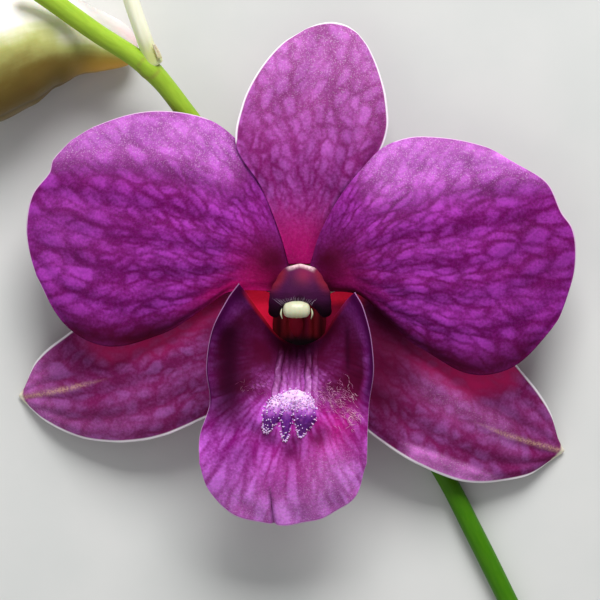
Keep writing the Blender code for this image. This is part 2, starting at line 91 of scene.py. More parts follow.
LEFT_PETAL = {
    "left": (
        (-1.3, 4.4, 10.0), (-1.5, 7.4, 10.3), (-2.6, 11.6, 10.5), (-5.0, 17.2, 10.5),
        (-8.9, 21.9, 10.2), (-13.4, 24.7, 10.2), (-20.1, 25.5, 10.3), (-27.5, 23.5, 10.0),
        (-30.9, 21.6, 9.8),
    ),
    "right": (
        (-2.9, 1.2, 10.5), (-9.5, 1.1, 11.0), (-13.6, -1.5, 11.2), (-18.6, -4.6, 11.2),
        (-25.7, -6.2, 10.6), (-31.6, -3.6, 9.8), (-35.6, 3.2, 9.4),
    ),
    "end": (
        (-30.9, 21.6, 9.8), (-33.4, 18.9, 9.6), (-33.9, 17.2, 9.5), (-36.2, 14.2, 9.2),
        (-37.0, 10.0, 9.1), (-36.6, 6.5, 9.2), (-35.6, 3.2, 9.4),
    ),
    "crown": PETAL_CROWN,
    "ribs": (7, 3.0),
    "grid": (180, 150),
    "fan": ((-0.6, 1.6), 148, 17.0, 3.0),
    "seed": 11,
}
RIGHT_PETAL = {
    "left": (
        (1.3, 4.5, 11.3), (2.7, 9.0, 12.0), (5.2, 13.6, 12.3), (7.7, 17.0, 12.2),
        (11.6, 20.7, 11.5), (16.7, 22.1, 10.9), (24.8, 20.7, 10.3), (28.9, 18.6, 10.0),
    ),
    "right": (
        (2.9, 1.2, 10.5), (7.7, 0.8, 11.0), (11.6, -2.3, 11.2), (15.5, -5.9, 11.0),
        (22.7, -9.9, 10.4), (29.2, -8.8, 9.8), (34.6, -3.1, 9.4), (35.9, -0.3, 9.3),
    ),
    "end": (
        (28.9, 18.6, 10.0), (33.4, 15.8, 9.6), (35.4, 11.8, 9.4), (36.8, 9.8, 9.2),
        (37.3, 7.4, 9.1), (37.1, 3.8, 9.1), (35.9, -0.3, 9.3),
    ),
    "crown": PETAL_CROWN,
    "ribs": (7, 3.0),
    "grid": (180, 150),
    "fan": ((0.6, 1.6), 18, 17.0, 3.0),
    "seed": 23,
}
LATERAL_CROWN = (0.0, 0.6, 1.4, 1.6, 1.2, 0.7, 0.1)
LEFT_SEPAL = {
    "left": (
        (-3.3, 0.6, 8.9), (-9.5, 3.0, 8.9), (-18.9, 2.2, 8.2), (-26.3, -0.9, 6.6),
        (-31.5, -4.5, 4.7), (-36.1, -8.3, 2.4), (-38.1, -12.5, 0.5),
    ),
    "right": (
        (-2.7, -7.6, 4.2), (-6.8, -12.6, 6.6), (-12.6, -15.9, 7.0), (-20.9, -19.0, 5.8),
        (-29.1, -19.2, 3.6), (-34.9, -16.6, 1.5), (-38.1, -13.9, 0.4),
    ),
    "base": ((-3.3, 0.6, 8.9), (-3.7, -3.6, 7.0), (-2.7, -7.6, 4.2)),
    "end": ((-38.1, -12.5, 0.5), (-38.7, -13.2, 0.32), (-38.1, -13.9, 0.4)),
    "crown": LATERAL_CROWN,
    "ribs": (5, 2.0),
    "grid": (110, 150),
    "fan": ((4.0, -1.0), 198, 18.0, 4.4),
    "seed": 41,
}
RIGHT_SEPAL = {
    "left": (
        (3.3, 0.6, 8.9), (9.5, 2.4, 8.9), (17.6, 0.9, 8.4), (24.3, -3.2, 7.0), (30.9, -10.6, 4.2),
        (34.5, -15.7, 2.0), (35.6, -20.1, 0.5),
    ),
    "right": (
        (2.3, -7.6, 4.2), (5.2, -13.5, 6.6), (8.9, -17.6, 7.2), (15.7, -22.1, 6.4),
        (23.2, -25.0, 4.6), (30.8, -24.2, 2.0), (35.2, -21.6, 0.4),
    ),
    "base": ((3.3, 0.6, 8.9), (3.5, -3.6, 7.0), (2.3, -7.6, 4.2)),
    "end": ((35.6, -20.1, 0.5), (36.4, -20.8, 0.32), (35.2, -21.6, 0.4)),
    "crown": LATERAL_CROWN,
    "ribs": (5, 2.0),
    "grid": (110, 150),
    "fan": ((-4.0, -0.5), -28, 18.0, 4.4),
    "seed": 53,
}
# Lines of the lateral sepals' creases, from their inner end to the tip: left, then right.
SEPAL_CREASES = (
    ((-25.0, -10.4), (-31.5, -12.1), (-38.4, -13.4)),
    ((22.5, -16.0), (28.3, -18.4), (36.0, -20.8)),
)
LIP = {
    "left": (
        (-8.1, 2.2, 19.2), (-9.6, 0.1, 20.0), (-11.6, -4.0, 20.4), (-12.4, -8.9, 19.6),
        (-12.0, -13.6, 17.0), (-13.4, -18.2, 15.2), (-13.5, -21.8, 14.0),
    ),
    "right": (
        (7.2, 1.0, 19.2), (8.3, -1.0, 20.0), (9.3, -4.6, 20.4), (9.7, -9.0, 19.6),
        (9.2, -13.8, 17.0), (9.0, -18.4, 15.2), (8.9, -21.8, 14.0),
    ),
    "middle": (
        (0.1, -6.4, 8.0), (-0.1, -7.3, 9.1), (-0.3, -8.3, 10.3), (-0.5, -9.7, 11.7),
        (-0.8, -11.6, 13.0), (-1.0, -13.8, 14.2), (-1.3, -16.8, 15.4), (-1.7, -20.6, 15.6),
        (-2.0, -24.0, 14.9),
    ),
    "base": (
        (-8.1, 2.2, 19.2), (-7.2, 0.9, 17.2), (-5.2, -2.0, 13.6), (-2.8, -5.2, 10.1),
        (0.1, -6.4, 8.0), (3.0, -5.2, 10.1), (4.9, -2.1, 13.6), (6.5, 0.2, 17.2),
        (7.2, 1.0, 19.2),
    ),
    "end": (
        (-13.5, -21.8, 14.0), (-12.2, -25.6, 12.6), (-8.6, -29.0, 11.2), (-2.6, -30.3, 11.2),
        (2.8, -29.4, 11.2), (7.4, -26.4, 12.6), (8.9, -21.8, 14.0),
    ),
    "wall": (0.7, 0.8, 0.9, 0.8, 0.5, 0.2, 0.0, 0.0),
    "margin": 0.6,
    "base_rim": True,
    "grid": (170, 170),
    "fan": ((-0.7, -7.0), -92, 12.0, 1.5),
    "seed": 61,
}
# Keels on the lip's floor: place beside the middle one, half width and share of the height.
KEELS = (
    (-2.5, 0.16, 1.0), (-1.4, 0.13, 0.4), (-0.4, 0.12, 0.3), (0.7, 0.13, 0.4), (2.2, 0.16, 1.0),
    (3.3, 0.14, 0.5),
)
KEEL_REACH = (-6.6, -13.2)
KEEL_MIDDLE = -0.55
KEEL_DRIFT = -0.45
# Folds of the lip's crest: their lines in plan, then their half widths.
CREST_PODS = (
    (((-3.4, -13.9), (-0.9, -13.3), (1.9, -13.7)), (0.95, 1.2, 1.0)),
    (((-2.7, -12.9), (-3.9, -15.4), (-4.5, -17.6)), (1.1, 1.15, 0.7)),
    (((-1.6, -13.4), (-1.8, -16.2), (-2.1, -18.7)), (1.2, 0.75, 0.45)),
    (((0.6, -13.0), (0.7, -15.6), (0.0, -18.2)), (1.5, 1.45, 0.6)),
)
CREST_LIFT = 0.3

BRACTS = {
    "bud_bract": {
        "left": ((-19.15, 32.5, 11.2), (-19.45, 33.4, 11.5), (-19.85, 34.4, 11.9)),
        "right": ((-18.65, 32.6, 10.55), (-19.0, 33.5, 10.85), (-19.55, 34.4, 11.5)),
    },
    "bloom_bract": {
        "left": ((7.9, -9.8, 3.2), (6.5, -7.7, 3.5), (5.8, -5.4, 3.8)),
        "right": ((7.0, -9.3, 1.6), (5.7, -7.3, 2.2), (5.4, -5.4, 3.2)),
    },
}
BRACT_CROWN = (0.15, 0.15)
BRACT_THICKNESS = 0.4
BRACT_RELIEF = 0.05

# Round pieces, as routes from their lower end.
STEM_ROUTE = (
    (29.6, -43.4, 1.31), (24.2, -32.5, 1.31), (19.4, -23.4, 1.4), (9.6, -8.9, 1.7),
    (0.6, 3.9, 1.9), (-7.6, 14.6, 3.6), (-15.3, 25.2, 7.0), (-20.4, 31.3, 9.4),
    (-27.6, 36.1, 11.6), (-34.6, 41.0, 13.6), (-37.4, 42.7, 14.3),
)
STEM_NODES = ((9.6, -8.9), (-20.4, 31.3))
BUD_PEDICEL_ROUTE = (
    (-19.9, 32.0, 9.4), (-20.9, 35.0, 10.9), (-22.1, 38.4, 11.8), (-23.4, 42.0, 12.3),
    (-25.6, 45.2, 12.0), (-29.0, 46.9, 10.2), (-32.0, 46.0, 8.0), (-33.9, 43.6, 6.7),
    (-34.6, 40.5, 6.4),
)
BLOOM_PEDICEL_ROUTE = (
    (9.0, -8.0, 2.2), (8.0, -6.0, 4.0), (7.0, -4.4, 4.7), (5.4, -2.4, 4.9), (3.2, 0.4, 5.3),
    (1.5, 2.0, 6.1), (0.6, 2.6, 7.4), (0.4, 2.7, 9.6),
)
COLUMN_ROUTE = ((0.0, 2.3, 9.2), (0.0, 1.8, 12.2), (0.0, 0.9, 17.6))
COLUMN_WIDTHS = (2.7, 3.0, 4.3, 5.0, 4.8)
COLUMN_DEPTHS = (2.3, 2.4, 3.1, 3.7, 3.5)
HOOD_WAIST = (1.15, 1.12, 1.08, 1.0, 0.91, 0.83, 0.76, 0.80, 1.0)
FOOT_ROUTE = ((0.0, 1.4, 11.0), (0.0, -1.6, 8.3), (-0.2, -4.8, 5.4), (-0.2, -7.8, 2.2))
FOOT_WIDTHS = (1.8, 2.1, 2.2, 1.9)
FOOT_DEPTHS = (2.6, 3.7, 3.9, 2.6)
TONGUE_ROUTE = ((-0.5, -1.8, 12.4), (-0.5, -3.3, 10.6), (-0.4, -5.0, 9.2))
TONGUE_WIDTHS = (0.5, 0.55, 0.4)
TONGUE_DEPTHS = (0.8, 0.95, 0.8)
CAP_PLACE = (-0.45, -1.45, 16.75)
CAP_WIDTHS = (1.7, 1.3, 1.2, 1.3, 1.7)
CAP_DEPTHS = (1.4, 1.15, 1.05, 1.15, 1.4)
BRISTLES = 20
BUD_ROUTE = (
    (-22.4, 33.4, 2.5), (-27.0, 34.8, 3.3), (-31.6, 35.3, 4.6), (-36.5, 34.3, 6.1),
    (-42.1, 31.2, 6.9), (-49.6, 24.8, 6.4),
)
BUD_WIDTHS = (4.75, 5.11, 6.21, 7.3, 7.81, 7.15)
BUD_DEPTHS = (4.16, 4.48, 5.44, 6.4, 6.85, 6.27)
BUD_SEAMS = (0.75, 2.85, 4.75)

# Colours beside the main ones, which OrchidColours offers.
# Painted light: tint laid on the dorsal sepal where it is lit.
DORSAL_LIT_TINT = (0.66, 0.22, 0.66)
DORSAL_BASE = (0.43, 0.004, 0.145)
# Rim colours here and below are partly the margins' own paleness and partly painted rim light.
DORSAL_RIM = (0.97, 0.84, 0.97)
# Painted light: tint laid on the lateral sepals where they are lit.
LATERAL_LIT_TINT = (0.85, 0.23, 0.78)
# Crimson base of a lateral sepal: its own red, made brighter as painted light coming through it.
LATERAL_BASE = (0.95, 0.010, 0.07)
# Painted shade of the lateral sepals.
LATERAL_SHADING = (0.11, 0.003, 0.032)
LATERAL_RIM = (0.98, 0.88, 0.96)
# Painted glow: emission colour standing in for light coming through a sepal's base.
LATERAL_GLOW = (0.17, 0.003, 0.011)
# Painted light: crimson where light comes through a petal onto the lateral sepal beside it.
LATERAL_THROUGH_LIGHT = (0.62, 0.018, 0.165)
CREASE_TAN = (0.72, 0.40, 0.32)
TIP_CREAM = (0.92, 0.84, 0.66)
# Pale patches of the lip, and painted light on its keels and lower lobe.
LIP_PALE_AND_LIT = (0.78, 0.35, 0.82)
LIP_BLUSH = (0.60, 0.006, 0.22)
LIP_RIM = (0.84, 0.46, 0.84)
LIP_SHADE = (0.030, 0.001, 0.014)
LIP_RED_EDGE = (0.5, 0.01, 0.03)
HAIR_DARK = (0.55, 0.12, 0.38)
HAIR_LIGHT = (1.0, 0.58, 0.76)
HAIR_SHADED = (0.22, 0.03, 0.11)
HOOD_PATCH = (0.075, 0.008, 0.062)
COLUMN_SIDE = (0.36, 0.012, 0.07)
COLUMN_RED = (0.45, 0.022, 0.012)
THROAT_RED = (0.13, 0.001, 0.004)
# Painted deep shade in the throat, under the hood's lower lobes and on the foot.
THROAT_DEEP_SHADE = (0.010, 0.001, 0.006)
HOOD_FUZZ = (0.92, 0.62, 0.66)
CAP_GREEN = (0.42, 0.48, 0.12)
CAP_LOWER_SIDE = (0.20, 0.05, 0.10)
BRISTLE_DARK = (0.30, 0.18, 0.34)
BRISTLE_LIGHT = (0.70, 0.56, 0.66)
BUD_CHIN = (1.0, 0.58, 0.08)
BUD_SHOULDER = (0.93, 0.60, 0.62)
BUD_SEAM = (0.10, 0.07, 0.03)
BUD_TIP = (0.24, 0.06, 0.02)
STEM_STREAK = (0.10, 0.26, 0.006)
STEM_NODE_BAND = (0.30, 0.24, 0.06)
CUT_RIM = (0.5, 0.56, 0.26)
CUT_CORE = (0.2, 0.3, 0.06)
PEDICEL_STREAK = (0.84, 0.82, 0.42)
PEDICEL_BASE = (0.60, 0.68, 0.16)
OVARY_MAUVE = (0.60, 0.38, 0.34)
OVARY_STREAK = (0.40, 0.26, 0.12)
OVARY_TOP = (0.34, 0.06, 0.20)
BRACT_VEIN = (0.66, 0.56, 0.32)
# Painted light on a bract, towards its tip.
BRACT_LIT_TINT = (0.88, 0.80, 0.60)
BRACT_BASE = (0.52, 0.54, 0.18)
# Painted shade of a bract; its mask is 0.
BRACT_SHADING = (0.2, 0.15, 0.05)
BRACT_RIM = (0.82, 0.72, 0.50)
FLOOR_LOW = (0.69, 0.70, 0.68)
FLOOR_HIGH = (0.73, 0.73, 0.71)
SKY_COLOUR = (0.96, 0.98, 1.0)

# Stage, in metres: the floor's half width and drop, and the petals' level.
FLOOR_REACH = 1.6
FLOOR_DROP = 0.1 * MM
PETAL_LEVEL = 10.0 * MM
SENSOR_WIDTH = 36.0


def length(label, default, description):
    """Length property in millimetres."""
    return FloatProperty(name=label, default=default, min=0.0, description=description)


def colour(label, default, description):
    """Colour property."""
    return FloatVectorProperty(
        name=label, default=default, subtype="COLOR", min=0.0, max=1.0, description=description
    )


class OrchidSizes(bpy.types.PropertyGroup):
    """Sizes of the dressed pieces, in millimetres."""

    blade_thickness: length("Blade thickness", 0.66, "Thickness of petals and sepals, mm")
    margin_thickness: length("Margin thickness", 0.17, "Thickness at their rims, mm")
    net_relief: length("Net relief", 0.07, "How far the cells stand above the vein net, mm")
    rib_height: length("Rib height", 0.16, "Height of the long ribs of a blade, mm")
    margin_wave: length("Margin wave", 0.28, "Depth of the slow wave along a margin, mm")
    keel_height: length("Keel height", 0.5, "Height of the ridges on the lip's floor, mm")
    papilla_length: length("Papilla length", 0.42, "Length of the knobs on the lip's crest, mm")
    papilla_count: IntProperty(
        name="Papillae", default=1150, min=0, description="Knobs on the crest"
    )
    hair_count: IntProperty(name="Hairs", default=330, min=0, description="Hairs beside the crest")
    stem_radius: length("Stem radius", 1.3, "Radius of the flower stem, mm")
    pedicel_radius: length("Pedicel radius", 1.05, "Radius of the stalk of a bloom or bud, mm")


class OrchidColours(bpy.types.PropertyGroup):
    """Main colours of the dressed pieces."""

    petal_cell: colour("Petal cell", (0.36, 0.034, 0.39), "Lilac of a petal between its veins")
    petal_vein: colour("Petal vein", (0.15, 0.003, 0.11), "Crimson purple of a petal's veins")
    # Painted light on the petals' upper parts.
    petal_lit_tint: colour("Petal lit tint", (0.70, 0.20, 0.76), "Lit upper part of a petal")
    crimson: colour("Crimson", (0.52, 0.004, 0.14), "Base of the petals and of the dorsal sepal")
    # Painted shade: dark maroon laid where shade falls, in the hollows by the column and under
    # rolled margins.
    hollow: colour("Hollow", (0.065, 0.001, 0.013), "Dark maroon of the hollows by the column")
    # Partly the thin margins' own paleness and partly painted rim light; the painted glints use it
    # too.
    rim: colour("Rim", (0.80, 0.52, 0.77), "Thin pale rim of every blade")
    dorsal_cell: colour("Dorsal cell", (0.40, 0.072, 0.40), "Dorsal sepal between its veins")
    dorsal_vein: colour("Dorsal vein", (0.20, 0.008, 0.13), "Veins of the dorsal sepal")
    sepal_cell: colour("Lateral cell", (0.30, 0.066, 0.28), "Lateral sepal between its veins")
    sepal_vein: colour("Lateral vein", (0.20, 0.010, 0.10), "Veins of a lateral sepal")
    lip_cell: colour("Lip cell", (0.84, 0.17, 0.96), "Middle lobe of the lip between its veins")
    lip_vein: colour("Lip vein", (0.36, 0.010, 0.29), "Veins of the lip")
    # Dark maroon of the side lobes' insides, deepened as painted shade.
    lip_maroon_shade: colour("Lip maroon shade", (0.080, 0.002, 0.025), "Inside of the lip's side lobes")
    lip_violet: colour("Lip violet", (0.090, 0.003, 0.080), "Band along the side lobes' margins")
    crest_white: colour("Crest white", (1.0, 0.67, 1.0), "Ends of the crest's knobs")
    crest_lilac: colour("Crest lilac", (0.46, 0.10, 0.56), "Flesh of the crest")
    crest_purple: colour("Crest purple", (0.13, 0.006, 0.22), "Tips of the crest's fingers")
    hood: colour("Column hood", (0.050, 0.006, 0.040), "Dark violet of the column's hood")
    cap: colour("Anther cap", (0.66, 0.67, 0.46), "Cream of the anther cap")
    # Painted light and shade: the stem is lighter at its upper end and darker at its lower end, as
    # the light falls.
    stem_lit_end: colour("Young stem", (0.38, 0.58, 0.045), "Yellow green of the stem's upper end")
    stem_shaded_end: colour("Old stem", (0.045, 0.18, 0.001), "Deeper green of the stem's lower end")
    pedicel: colour("Pedicel", (0.98, 0.98, 0.76), "Cream of the bud's stalk")
    # The bud's pale upper side and olive under side are partly its own colours and partly painted
    # light and shade.
    bud_pale: colour("Bud pale", (1.0, 0.93, 0.90), "Pinkish white of the bud's upper side")
    bud_green: colour("Bud green", (0.60, 0.63, 0.20), "Pale yellow green of the bud")
    bud_olive: colour("Bud olive", (0.19, 0.125, 0.018), "Olive brown of the bud's under side")
    bract: colour("Bract", (0.84, 0.78, 0.48), "Papery scale at a node")


class OrchidStage(bpy.types.PropertyGroup):
    """Floor, camera and lights."""

    camera_height: FloatProperty(
        name="Camera height", default=0.46, subtype="DISTANCE", unit="LENGTH", min=0.1,
        description="Height of the camera above the floor",
    )
    view_width: FloatProperty(
        name="View width", default=0.081, subtype="DISTANCE", unit="LENGTH", min=0.01,
        description="Width that the picture takes in at the petals",
    )
    key_power: FloatProperty(
        name="Key light", default=4.4, min=0.0, description="Power of the main light"
    )
    fill_power: FloatProperty(
        name="Fill light", default=0.5, min=0.0, description="Power of the fill light"
    )
    sky: FloatProperty(name="Sky", default=0.30, min=0.0, description="Strength of the even light")


def smooth_path(points, steps):
    """Evenly spaced points along a smooth curve that passes through the given points."""
    knots = np.array(points, dtype=float)
    spans = np.linalg.norm(np.diff(knots, axis=0), axis=1)
    slopes = np.empty_like(knots)
    slopes[0] = (knots[1] - knots[0]) / spans[0]
    slopes[-1] = (knots[-1] - knots[-2]) / spans[-1]
    slopes[1:-1] = (knots[2:] - knots[:-2]) / (spans[:-1] + spans[1:])[:, None]
    t = np.linspace(0, 1, KNOT_STEPS, endpoint=False)[:, None]
    dense = []
    for index, span in enumerate(spans):
        dense.append(
            knots[index] * (2 * t**3 - 3 * t**2 + 1)
            + slopes[index] * span * (t**3 - 2 * t**2 + t)
            + knots[index + 1] * (3 * t**2 - 2 * t**3)
            + slopes[index + 1] * span * (t**3 - t**2)
        )
    dense = np.vstack(dense + [knots[-1:]])
    reached = np.concatenate(([0.0], np.cumsum(np.linalg.norm(np.diff(dense, axis=0), axis=1))))
    wanted = np.linspace(0, reached[-1], steps + 1)
    return np.stack([np.interp(wanted, reached, dense[:, axis]) for axis in range(3)], axis=1)


def read_profile(values, t):
    """Values at t, from 0 to 1, of a profile given at even steps."""
    values = np.array(values, dtype=float)
    place = np.clip(t, 0, 1) * (len(values) - 1)
    index = np.minimum(place.astype(int), len(values) - 2)
    share = place - index
    eased = share * share * (3 - 2 * share)
    return values[index] * (1 - eased) + values[index + 1] * eased


def ease(value, low, high):
    """Smooth step from 0 at low to 1 at high; high may be the smaller of the two."""
    share = np.clip((value - low) / (high - low), 0, 1)
    return share * share * (3 - 2 * share)


def hump(value, middle, reach):
    """Soft rise to 1 where a value is at its middle; reach is how far it spreads."""
    return np.exp(-(((value - middle) / reach) ** 2))


def spot(points, x, y, reach):
    """Soft round mask over points, centred at x, y."""
    return np.exp(-((points[:, 0] - x) ** 2 + (points[:, 1] - y) ** 2) / reach**2)


def add_spots(points, *spots):
    """Sum of soft round masks, each given by its strength, x, y and reach."""
    return sum(strength * spot(points, *place) for strength, *place in spots)


def unit(vectors):
    """Vectors brought to a length of 1."""
    return vectors / np.linalg.norm(vectors, axis=1)[:, None]


def round_grain(angle, radius, along):
    """Place on a round body's skin, for streaks that follow it."""
    return np.stack((np.cos(angle) * radius, np.sin(angle) * radius, along), axis=1)


def cell_net(u, v, seed):
    """How far inside its cell each point lies, 0 on a border, with a random tone of the cell."""
    table = np.random.default_rng(seed).random((64, 64, 3))
    near, tones = [], []
    for step_u in (-1, 0, 1):
        for step_v in (-1, 0, 1):
            cell_u = np.floor(u).astype(int) + step_u
            cell_v = np.floor(v).astype(int) + step_v
            centre = table[cell_u % 64, cell_v % 64]
            near.append(np.hypot(cell_u + centre[:, 0] - u, cell_v + centre[:, 1] - v))
            tones.append(centre[:, 2])
    near = np.stack(near)
    order = near.argsort(axis=0)[:2]
    first, second = np.take_along_axis(near, order, axis=0)
    return second - first, np.take_along_axis(np.stack(tones), order[:1], axis=0)[0]


def keep_mesh(bm, name):
    """Mesh made of a bmesh, which is freed."""
    mesh = bpy.data.meshes.new(name)
    bm.to_mesh(mesh)
    bm.free()
    return mesh


def read_vectors(mesh, kind="co"):
    """Vertex places of a mesh, or its vertex normals, as an array."""
    flat = np.empty(len(mesh.vertices) * 3)
    mesh.vertices.foreach_get(kind, flat)
    return flat.reshape(-1, 3)


def bloom_points(mesh):
    """Vertex places in bloom millimetres."""
    return read_vectors(mesh) / MM - BLOOM_AXIS


def place_points(mesh, points):
    """Put a mesh's vertices at points given in bloom millimetres."""
    mesh.vertices.foreach_set("co", ((points + BLOOM_AXIS) * MM).ravel())
    mesh.update()


def add_masks(mesh, masks):
    """Keep numbers or vectors on the vertices for the materials to read."""
    for name, values in masks.items():
        if values.ndim == 1:
            layer = mesh.attributes.new(name, "FLOAT", "POINT")
            layer.data.foreach_set("value", values.astype(np.float32))
        else:
            layer = mesh.attributes.new(name, "FLOAT_VECTOR", "POINT")
            layer.data.foreach_set("vector", values.astype(np.float32).ravel())


def add_piece(name, mesh, finish, slot, *nodes):
    """Link a finished mesh as a piece that rides on the body, and hide the CAD nodes that it stands
    for.
    """
    for polygon in mesh.polygons:
        polygon.use_smooth = True
    piece = bpy.data.objects.new(name, mesh)
    mesh.materials.append(finish)
    bpy.context.collection.objects.link(piece)
    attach(piece, "root")
    if nodes:
        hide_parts(*nodes)
    return piece


def blade_surface(shape, across, along, column, row):
    """Points of a blade's middle surface with how far each lies from the margin."""
    left = smooth_path(shape["left"], along)
    right = smooth_path(shape["right"], along)
    if "middle" in shape:
        middle = smooth_path(shape["middle"], along)
    else:
        middle = (left + right) / 2
        middle[:, 2] += read_profile(shape["crown"], np.arange(along + 1) / along)

    def bowed(column, row):
        place = 2 * column / across - 1
        reach = np.abs(place)
        edge = np.where((place < 0)[:, None], left[row], right[row])
        centre = middle[row]
        steep = read_profile(shape.get("wall", (0, 0)), row / along)
        sideways = reach * (1 - steep) + np.sin(reach * math.pi / 2) * steep
        upwards = reach**2 * (1 - steep) + (1 - np.cos(reach * math.pi / 2)) * steep
        points = centre + (edge - centre) * sideways[:, None]
        points[:, 2] = centre[:, 2] + (edge[:, 2] - centre[:, 2]) * upwards
        return points

    t = row / along
    points = bowed(column, row)
    columns = np.arange(across + 1)
    if "base" in shape:
        shift = smooth_path(shape["base"], across) - bowed(columns, np.zeros_like(columns))
        points += shift[column] * ((1 - t) ** 4)[:, None]
    if "end" in shape:
        shift = smooth_path(shape["end"], across) - bowed(columns, np.full_like(columns, along))
        points += shift[column] * (t**4)[:, None]
    place = 2 * column / across - 1
    half = np.linalg.norm(left - right, axis=1) / 2
    whole = np.linalg.norm(np.diff(middle, axis=0), axis=1).sum()
    edge = np.minimum((1 - np.abs(place)) * half[row], (1 - t) * whole)
    return points, place, t, edge, t * whole


def fan(points, root, heading, turns, steps):
    """Coordinates that fan out from a blade's base: turn across, reach along."""
    away = points[:, :2] - np.array(root)
    ahead = np.array((math.cos(math.radians(heading)), math.sin(math.radians(heading))))
    turn = np.arctan2(ahead[0] * away[:, 1] - ahead[1] * away[:, 0], away @ ahead)
    reach = np.hypot(away[:, 0], away[:, 1])
    u = turns * turn + 0.22 * np.sin(0.35 * reach + 3 * turn)
    v = steps * np.sqrt(reach) + 0.25 * np.sin(6 * turn)
    return u, v


def vein_net(u, v, seed):
    """Net of veins that fans out: 0 on a vein and 1 in the middle of a cell."""
    u = u + 0.18 * np.sin(1.7 * v + seed) + 0.10 * np.sin(4.1 * v + 1.7 * u)
    v = v + 0.22 * np.sin(1.3 * u + 2 * seed)
    gap, tone = cell_net(u, v, seed)
    cells = ease(gap, 0.0, 0.65) * (0.45 + 0.55 * tone)
    lines = ease(cell_net(0.42 * u, 0.2 * v, seed + 1)[0], 0.0, 0.45)
    fine = ease(cell_net(2.1 * u, 2.4 * v, seed + 2)[0], 0.0, 0.8)
    return np.clip(0.62 * cells + 0.28 * lines + 0.14 * fine, 0, 1)


def build_blade(name, shape, finish, slot, masks, lift=None, thickness=None, relief=1.0):
    """Blade with its ribs, waves, vein relief and thinned margin.

    lift adds to the height and masks to what the material reads, both worked out from the
    points and their places.
    """
    sizes = bpy.context.scene.orchid_sizes
    across, along = shape["grid"]
    seed = shape["seed"]
    bm = bmesh.new()
    bmesh.ops.create_grid(bm, x_segments=across, y_segments=along, size=1.0)
    mesh = keep_mesh(bm, name)
    flat = read_vectors(mesh)
    column = np.rint((flat[:, 0] + 1) / 2 * across).astype(int)
    row = np.rint((flat[:, 1] + 1) / 2 * along).astype(int)
    points, place, t, edge, back = blade_surface(shape, across, along, column, row)
    place_points(mesh, points)
    normals = read_vectors(mesh, "normal")
    if normals[:, 2].sum() < 0:
        mesh.flip_normals()
        normals = -normals

    u, v = fan(points, *shape["fan"])
    contrast = 0.15 + 0.85 * ease(t, 0.04, 0.42)
    pattern = NET_MEAN + (vein_net(u, v, seed) - NET_MEAN) * contrast
    fade = ease(t, 0.08, 0.5) * np.minimum((1 - t) / 0.2, 1)
    count, waves = shape.get("ribs", (0, 0))
    height = relief * sizes.net_relief * (pattern - 0.5) * ease(edge, 0.0, 1.2)
    if count:
        height += fade * sizes.rib_height * (1 - place**4) * np.cos(math.pi * count * place)
        wave = np.sin(2 * math.pi * waves * t + 2 * place)
        height += relief * fade * sizes.margin_wave * place**4 * wave
    rough = np.sin(2.3 * v + 5 * place) + np.sin(5.1 * v + 2) * 0.6
    points = points + normals * (0.05 * relief * rough * place**8)[:, None]
    if lift:
        height += lift(points, place, t, edge)
    points = points + normals * height[:, None]
    place_points(mesh, points)

    rim = edge if shape.get("base_rim") else edge + ease(t, 0.32, 0.14)
    add_masks(mesh, {"net": pattern, "edge": rim, **masks(points, place, t, edge, back)})
    piece = add_piece(name, mesh, finish, slot, name.removesuffix("_blade"))
    thick = (thickness or sizes.blade_thickness) * MM
    thin = shape.get("margin", 1.0) * sizes.margin_thickness * MM / thick
    group = piece.vertex_groups.new(name="thickness")
    weights = thin + (1 - thin) * ease(edge, 0.0, 1.6)
    for level in np.unique(np.round(weights, 2)):
        chosen = np.flatnonzero(np.round(weights, 2) == level)
        group.add(chosen.tolist(), float(level), "REPLACE")
    solid = piece.modifiers.new("thickness", "SOLIDIFY")
    solid.thickness = thick
    solid.offset = 0.0
    solid.use_even_offset = False
    solid.vertex_group = group.name
    return piece


def pod_mesh(name, route, widths, depths, reference, grid, shape=None):
    """Rounded body along a route, from a sphere's own vertices, with its angle and place."""
    sides, rings = grid
    bm = bmesh.new()
    bmesh.ops.create_uvsphere(bm, u_segments=sides, v_segments=rings, radius=1.0)
    mesh = keep_mesh(bm, name)
    ball = read_vectors(mesh)
    angle = np.arctan2(ball[:, 1], ball[:, 0])
    t = (1 - np.clip(ball[:, 2], -1, 1)) / 2
    path = smooth_path(route, ROUTE_STEPS)
    place = t * ROUTE_STEPS
    rows = np.arange(ROUTE_STEPS + 1)

    def read_along(line):
        return np.stack([np.interp(place, rows, line[:, axis]) for axis in range(3)], axis=1)

    tangent = unit(read_along(np.gradient(path, axis=0)))
    aim = np.array(reference, dtype=float)
    depth_axis = unit(aim - tangent * (tangent @ aim)[:, None])
    width_axis = np.cross(tangent, depth_axis)
    round_off = np.sqrt(np.clip(1 - ball[:, 2] ** 2, 0, 1))
    if shape:
        round_off = round_off * shape(angle, t)
    width = read_profile(widths, t) * round_off * np.cos(angle)
    depth = read_profile(depths, t) * round_off * np.sin(angle)
    points = read_along(path) + width_axis * width[:, None] + depth_axis * depth[:, None]
    place_points(mesh, points)
    return mesh, points, angle, t


def hair_mesh(name, routes, radius):
    """Many fine hairs in one mesh, each pointed at the end of its route."""
    girth = (radius, radius, 0.5 * radius)
    bm = bmesh.new()
    for route in routes:
        hair = pod_mesh(name, route, girth, girth, (0.1, 0.2, 1), (6, 8))[0]
        bm.from_mesh(hair)
        bpy.data.meshes.remove(hair)
    return keep_mesh(bm, name)


